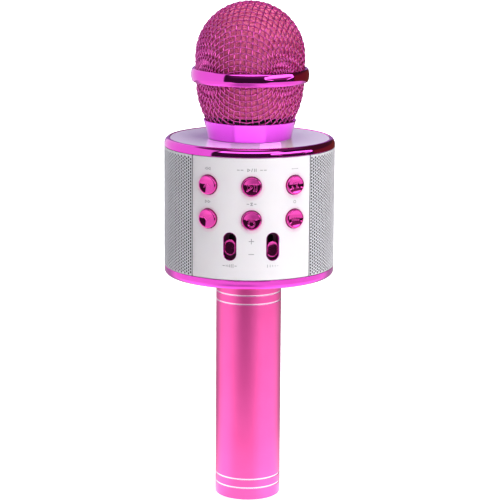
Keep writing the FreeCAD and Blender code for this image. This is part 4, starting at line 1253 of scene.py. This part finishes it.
def build_foam():
    """Open-cell foam liner, close behind the wires, with a round hollow and a bore for the neck."""
    gap = 2 * MESH_INSET + 0.12
    dome_r = DOME_R - gap
    foot = foam_low.z + 0.8
    hollow_r, bore_r = 20.0, 16.6
    outline = [(r, DOME_Z + h) for h, r in arc(0, 0, dome_r, 0, math.pi / 2, 90)]
    for k in range(1, 12):
        outline.append((dome_r - 0.4 * k / 11, DOME_Z + (BOWL_TOP_Z - DOME_Z) * k / 11))
    lowest = math.asin((BOWL_TOP_Z - foot) / (BOWL_ARC - gap))
    outline += [bowl_point(lowest * k / 40, gap) for k in range(1, 41)]
    opening = math.asin(bore_r / hollow_r)
    outline.append((bore_r, foot))
    outline += [(r, DOME_Z + h) for h, r in arc(0, 0, hollow_r, math.pi - opening, opening - math.pi, 15)]

    def lumps(r, z, angle):
        if r < bore_r + 0.5 or (r ** 2 + (z - DOME_Z) ** 2) < (hollow_r + 0.5) ** 2:
            return r
        spot = Vector((r * math.sin(angle), -r * math.cos(angle), z))
        return r + 0.10 * noise.noise(spot * 1.6) + 0.05 * noise.noise(spot * 4.0)

    foam = lathe("foam_liner", outline, [FOAM], segments=320, bend=lumps)
    fit(foam, "head", "foam_pink", "foam_windscreen")


BAND_EDGE_R = 27.1
COLLAR_FOOT_R = 19.6
COLLAR_SEAT_R = 18.6
COLLAR_BORE_R = 18.03
COLLAR_BORE_TOP = 179.6
COLLAR_FLARE = 0.72


def build_band():
    """Plated band, bulging between its square edges."""
    bore_r, inset = DOME_R + 0.03, 0.3
    half = (band_high.z - band_low.z) / 2 - inset
    bulge = band_high.x - BAND_EDGE_R
    bend = (half ** 2 + bulge ** 2) / (2 * bulge)
    outline = [(bore_r, band_low.z, 0.08), (BAND_EDGE_R - 0.35, band_low.z, 0.25)]
    for k in range(-10, 11):
        rise = half * k / 10
        outline.append((band_high.x - bend + math.sqrt(bend ** 2 - rise ** 2), BAND_MIDDLE + rise, 0))
    outline += [(BAND_EDGE_R - 0.35, band_high.z, 0.25), (bore_r, band_high.z, 0.08)]
    turned("head_band", outline, 4, [CHROME], "head", "chrome_pink", "grille_band")


def build_collar():
    """Plated collar that flares out faster towards its top."""
    low, high = collar_low.z, collar_high.z
    step = low + 0.55
    outline = [(COLLAR_SEAT_R, low, 0.05)]
    for k in range(16):
        t = k / 16
        flare = COLLAR_FLARE * t + (1 - COLLAR_FLARE) * t * t
        r = COLLAR_FOOT_R + (collar_high.x - COLLAR_FOOT_R) * flare
        outline.append((r, low + (high - low) * t, 0.0 if k else 0.1))
    outline += [(collar_high.x, high, 0.22), (collar_high.x - 0.62, high, 0.2)]
    outline += [(collar_high.x - 0.9, COLLAR_BORE_TOP, 0.2), (COLLAR_BORE_R, COLLAR_BORE_TOP, 0.1)]
    outline += [(COLLAR_BORE_R, step, 0.05), (COLLAR_SEAT_R, step, 0.05)]
    # The collar's plating is the lit copy, with its reflected light painted in as a brighter violet.
    turned("head_collar", outline, 4, [CHROME_COLLAR_PAINTED_REFLECTION], "head", "chrome_pink", "grille_collar")


NECK_BORE_R = 13.5
THREAD_CREST_R = 16.0
THREAD_DEPTH = 0.62
THREAD_PITCH = 2.5


def build_neck():
    """Neck with a helical thread, seen when the head comes off."""
    root = THREAD_CREST_R - THREAD_DEPTH
    top = neck_high.z
    flange_top = neck_low.z + 2.0
    start, end = TOP_FACE + 0.9, top - 0.9
    outline = [(NECK_BORE_R, neck_low.z), (neck_high.x, neck_low.z), (neck_high.x, flange_top)]
    outline += [(THREAD_CREST_R, flange_top), (THREAD_CREST_R, start - 0.1)]
    z = start
    while z < top - 1.0:
        outline.append((root, z))
        z += THREAD_PITCH / 12
    outline += [(root, top - 0.7), (root - 0.6, top), (NECK_BORE_R, top)]

    def thread(r, z, angle):
        if abs(r - root) > 0.01 or not start <= z <= end:
            return r
        phase = (z / THREAD_PITCH - angle / TURN) % 1.0
        ridge = max(0.0, min(1.0, (0.30 - abs(phase - 0.5)) / 0.14))
        runout = min(1.0, (z - start) / 1.2, (end - z) / 1.2)
        return r + THREAD_DEPTH * ridge * max(0.0, runout)

    neck = lathe("threaded_neck_skin", outline, [BLACK], segments=144, bend=thread)
    fit(neck, "case", "black_plastic", "threaded_neck")


# ---- Studio ----

PLAIN_CARD = (0.035, 0.030, 0.034)
LEFT_CARD = (0.92, 0.92, 0.98)
RIGHT_CARD = (0.15, 0.05, 0.022)
BACK_CARD = (0.34, 0.24, 0.46)


def build_floor():
    """Plain white sweep, which lights itself for the camera."""
    back, curve, half_width, front, top, drop = 700.0, 900.0, 3000.0, -2500.0, 3500.0, -0.05
    profile = [(front, drop)]
    profile += [(back + s, curve + h + drop) for s, h in arc(0, 0, curve, -math.pi / 2, math.pi / 2, 12)]
    profile.append((back + curve, top))
    points = [(x, y, z) for y, z in profile for x in (-half_width, half_width)]
    faces = [(2 * k, 2 * k + 1, 2 * k + 3, 2 * k + 2) for k in range(len(profile) - 1)]
    shade = Shade("studio_floor")
    patch = shade.span(shade.noise(3.0, 3.0), 0.3, 0.7, 0, 1)
    seen = shade.add("ShaderNodeLightPath").outputs["Is Camera Ray"]
    glow = shade.span(shade.distance((0, 0, 0)), 0.5, 1.3, 0.75, 1.0, True)
    shade.set(Base_Color=shade.blend(patch, (0.90, 0.90, 0.90), (0.93, 0.93, 0.93)), Roughness=0.8)
    shade.set(Emission_Color=(1.0, 1.0, 1.0), Emission_Strength=shade.product(seen, glow))
    floor = new_object("studio_floor", points, faces, [shade.material])
    floor.visible_glossy = False


def build_table_card():
    """Stage card that stands for the table in reflections: bright near the object, dark further away."""
    shade = Shade("table_card")
    x, y, _ = shade.axes()
    away = shade.math("SQRT", shade.math("ADD", shade.product(x, x), shade.product(y, y)))
    turn = shade.bearing(x, y)
    apart = shade.math("ABSOLUTE", turn)
    shifted = shade.math("ABSOLUTE", shade.math("ADD", turn, 14.0))

    def fade(value, start, end, first=1, last=0):
        return shade.span(value, start, end, first, last, True)

    edge = fade(apart, 26, 42, 0.55, 0.74)
    lit = fade(shade.math("SUBTRACT", away, edge), -0.008, 0.008)
    dim = shade.product(fade(shifted, 10, 36), fade(away, 0.10, 0.34, 0, 1), fade(away, 0.46, 0.50))
    bright = shade.blend(dim, (1.02, 1.00, 1.02), (0.52, 0.46, 0.54))
    beyond = shade.blend(fade(turn, 90, 96, 0, 1), PLAIN_CARD, RIGHT_CARD)
    beyond = shade.blend(fade(turn, -54.5, -52), beyond, LEFT_CARD)
    beyond = shade.blend(fade(apart, 160, 170, 0, 1), beyond, BACK_CARD)
    near = fade(away, 0.05, 0.16, 0.35)
    sides = shade.product(fade(shifted, 25, 60, 0, 1), fade(apart, 95, 125), fade(away, 0.30, 0.42, 0.42))
    extra = shade.math("ADD", shade.math("ADD", near, sides), fade(apart, 112, 138, 0, -0.55))
    shade.set(Base_Color=(0, 0, 0), Specular_IOR_Level=0.0)
    shade.set(Emission_Strength=shade.math("ADD", 1.0, shade.product(lit, extra)))
    shade.set(Emission_Color=shade.blend(lit, beyond, bright))
    points = [(x, y, 0.02) for x, y in circle_loop(0, 0, 3000.0, 64)]
    card = new_object("table_card", points, [tuple(range(64))], [shade.material])
    for ray in ("camera", "diffuse", "shadow", "transmission"):
        setattr(card, f"visible_{ray}", False)


def build_world():
    """Even white for the camera and soft light; a studio of cards and dark flags for reflections."""
    world = bpy.data.worlds.new("studio")
    bpy.context.scene.world = world
    world.use_nodes = True
    world.node_tree.nodes.clear()
    net = Nodes(world.node_tree, "Generated")
    x, y, z = net.axes()
    azimuth = net.bearing(x, y)
    elevation = net.product(net.math("ARCSINE", z), 180 / math.pi)
    apart = net.math("ABSOLUTE", azimuth)

    def rise(value, low, high):
        return net.span(value, low, high, 0, 1, True)

    def fall(value, low, high):
        return net.span(value, low, high, 1, 0, True)

    # Distance from the softbox's centre, as an octagon of radius 1.
    across = net.math("ABSOLUTE", net.math("DIVIDE", net.math("SUBTRACT", azimuth, 59.0), 32.0))
    upward = net.math("ABSOLUTE", net.math("DIVIDE", net.math("SUBTRACT", elevation, 9.0), 16.0))
    slant = net.product(net.math("ADD", across, upward), 0.72)
    octagon = net.math("MAXIMUM", net.math("MAXIMUM", across, upward), slant)
    right = rise(azimuth, 90.0, 96.0)
    inner = fall(octagon, 0.86, 0.92)
    layers = (
        (net.product(fall(apart, 30.0, 50.0), rise(elevation, 6.0, 24.0)), (0.16, 0.10, 0.14)),
        (net.product(fall(apart, 42.0, 50.0), rise(elevation, 25.0, 27.0), fall(elevation, 43.0, 46.0)),
         (2.6, 2.6, 2.7)),
        (right, RIGHT_CARD),
        (net.product(right, rise(elevation, 2.0, 14.0)), (0.05, 0.03, 0.02)),
        (fall(octagon, 0.97, 1.03), (3.2, 3.2, 3.3)),
        (net.product(inner, rise(elevation, 6.0, 10.0)), (2.6, 2.6, 2.7)),
        (net.product(inner, fall(elevation, 6.0, 10.0)), (0.20, 0.12, 0.16)),
        (fall(azimuth, -54.5, -52.0), LEFT_CARD),
        (rise(apart, 160.0, 170.0), BACK_CARD),
        (rise(elevation, 46.0, 54.0), (0.12, 0.07, 0.10)),
        (rise(elevation, 72.0, 80.0), (1.10, 1.05, 1.15)),
    )
    colour = PLAIN_CARD
    for mask, tint in layers:
        colour = net.blend(mask, colour, tint)

    path = net.add("ShaderNodeLightPath")
    shown = net.add("ShaderNodeBackground", Color=(0.96, 0.95, 1.0), Strength=0.17)
    reflected = net.add("ShaderNodeBackground", Color=colour)
    plain = net.add("ShaderNodeBackground", Color=(1, 1, 1), Strength=1.0)
    for ray, seen in (("Is Glossy Ray", reflected), ("Is Camera Ray", plain)):
        mix = net.add("ShaderNodeMixShader")
        for socket, source in zip(mix.inputs, (path.outputs[ray], shown.outputs[0], seen.outputs[0])):
            net.give(socket, source)
        shown = mix
    net.add("ShaderNodeOutputWorld", Surface=shown.outputs[0])


def add_lamp(name, place, size, power, tint):
    """Soft rectangular lamp, aimed at the object's middle and not seen in it."""
    data = bpy.data.lights.new(name, "AREA")
    data.shape = "RECTANGLE"
    data.size, data.size_y = size
    data.energy = power
    data.color = tint
    made = bpy.data.objects.new(name, data)
    made.location = place
    made.rotation_euler = (Vector((0, 0, 0.14)) - Vector(place)).to_track_quat("-Z", "Y").to_euler()
    made.visible_glossy = False
    made.visible_camera = False
    bpy.context.scene.collection.objects.link(made)


def build_camera():
    data = bpy.data.cameras.new("camera")
    data.sensor_width = 36.0
    data.lens = 148.7
    data.shift_x = 0.002
    data.clip_start, data.clip_end = 0.05, 20.0
    camera = bpy.data.objects.new("camera", data)
    away, height, azimuth, pitch, roll = 0.9576, 0.3146, math.radians(-1.5), -11.56, 0.38
    camera.location = (away * math.sin(azimuth), -away * math.cos(azimuth), height)
    turn = Matrix.Rotation(azimuth, 4, "Z") @ Matrix.Rotation(math.radians(90 + pitch), 4, "X")
    turn = turn @ Matrix.Rotation(math.radians(roll), 4, "Z")
    camera.rotation_euler = turn.to_euler()
    bpy.context.scene.collection.objects.link(camera)
    bpy.context.scene.camera = camera


def build_studio():
    bpy.context.scene.view_settings.view_transform = "Standard"
    bpy.context.scene.view_settings.look = "None"
    build_floor()
    build_table_card()
    build_world()
    add_lamp("key_left", (-0.9, -0.7, 0.5), (0.6, 0.9), 0.3, (1.0, 0.97, 1.0))
    add_lamp("fill_right", (0.8, -0.9, 0.4), (0.6, 0.9), 7.4, (1.0, 1.0, 1.0))
    add_lamp("top", (0.15, -0.1, 1.1), (0.8, 0.8), 13.5, (1.0, 0.98, 1.0))
    add_lamp("behind", (0.1, 1.1, 0.6), (0.8, 0.8), 3.0, (1.0, 1.0, 1.0))
    build_camera()


build_handle()
build_lower_rim()
build_top()
build_front_panel()
build_rear_panel()
build_side_grilles()
for button_name in BUTTON_NAMES:
    build_button(button_name)
build_sliders()
build_marks()
build_grilles()
build_foam()
build_band()
build_collar()
build_neck()
build_studio()
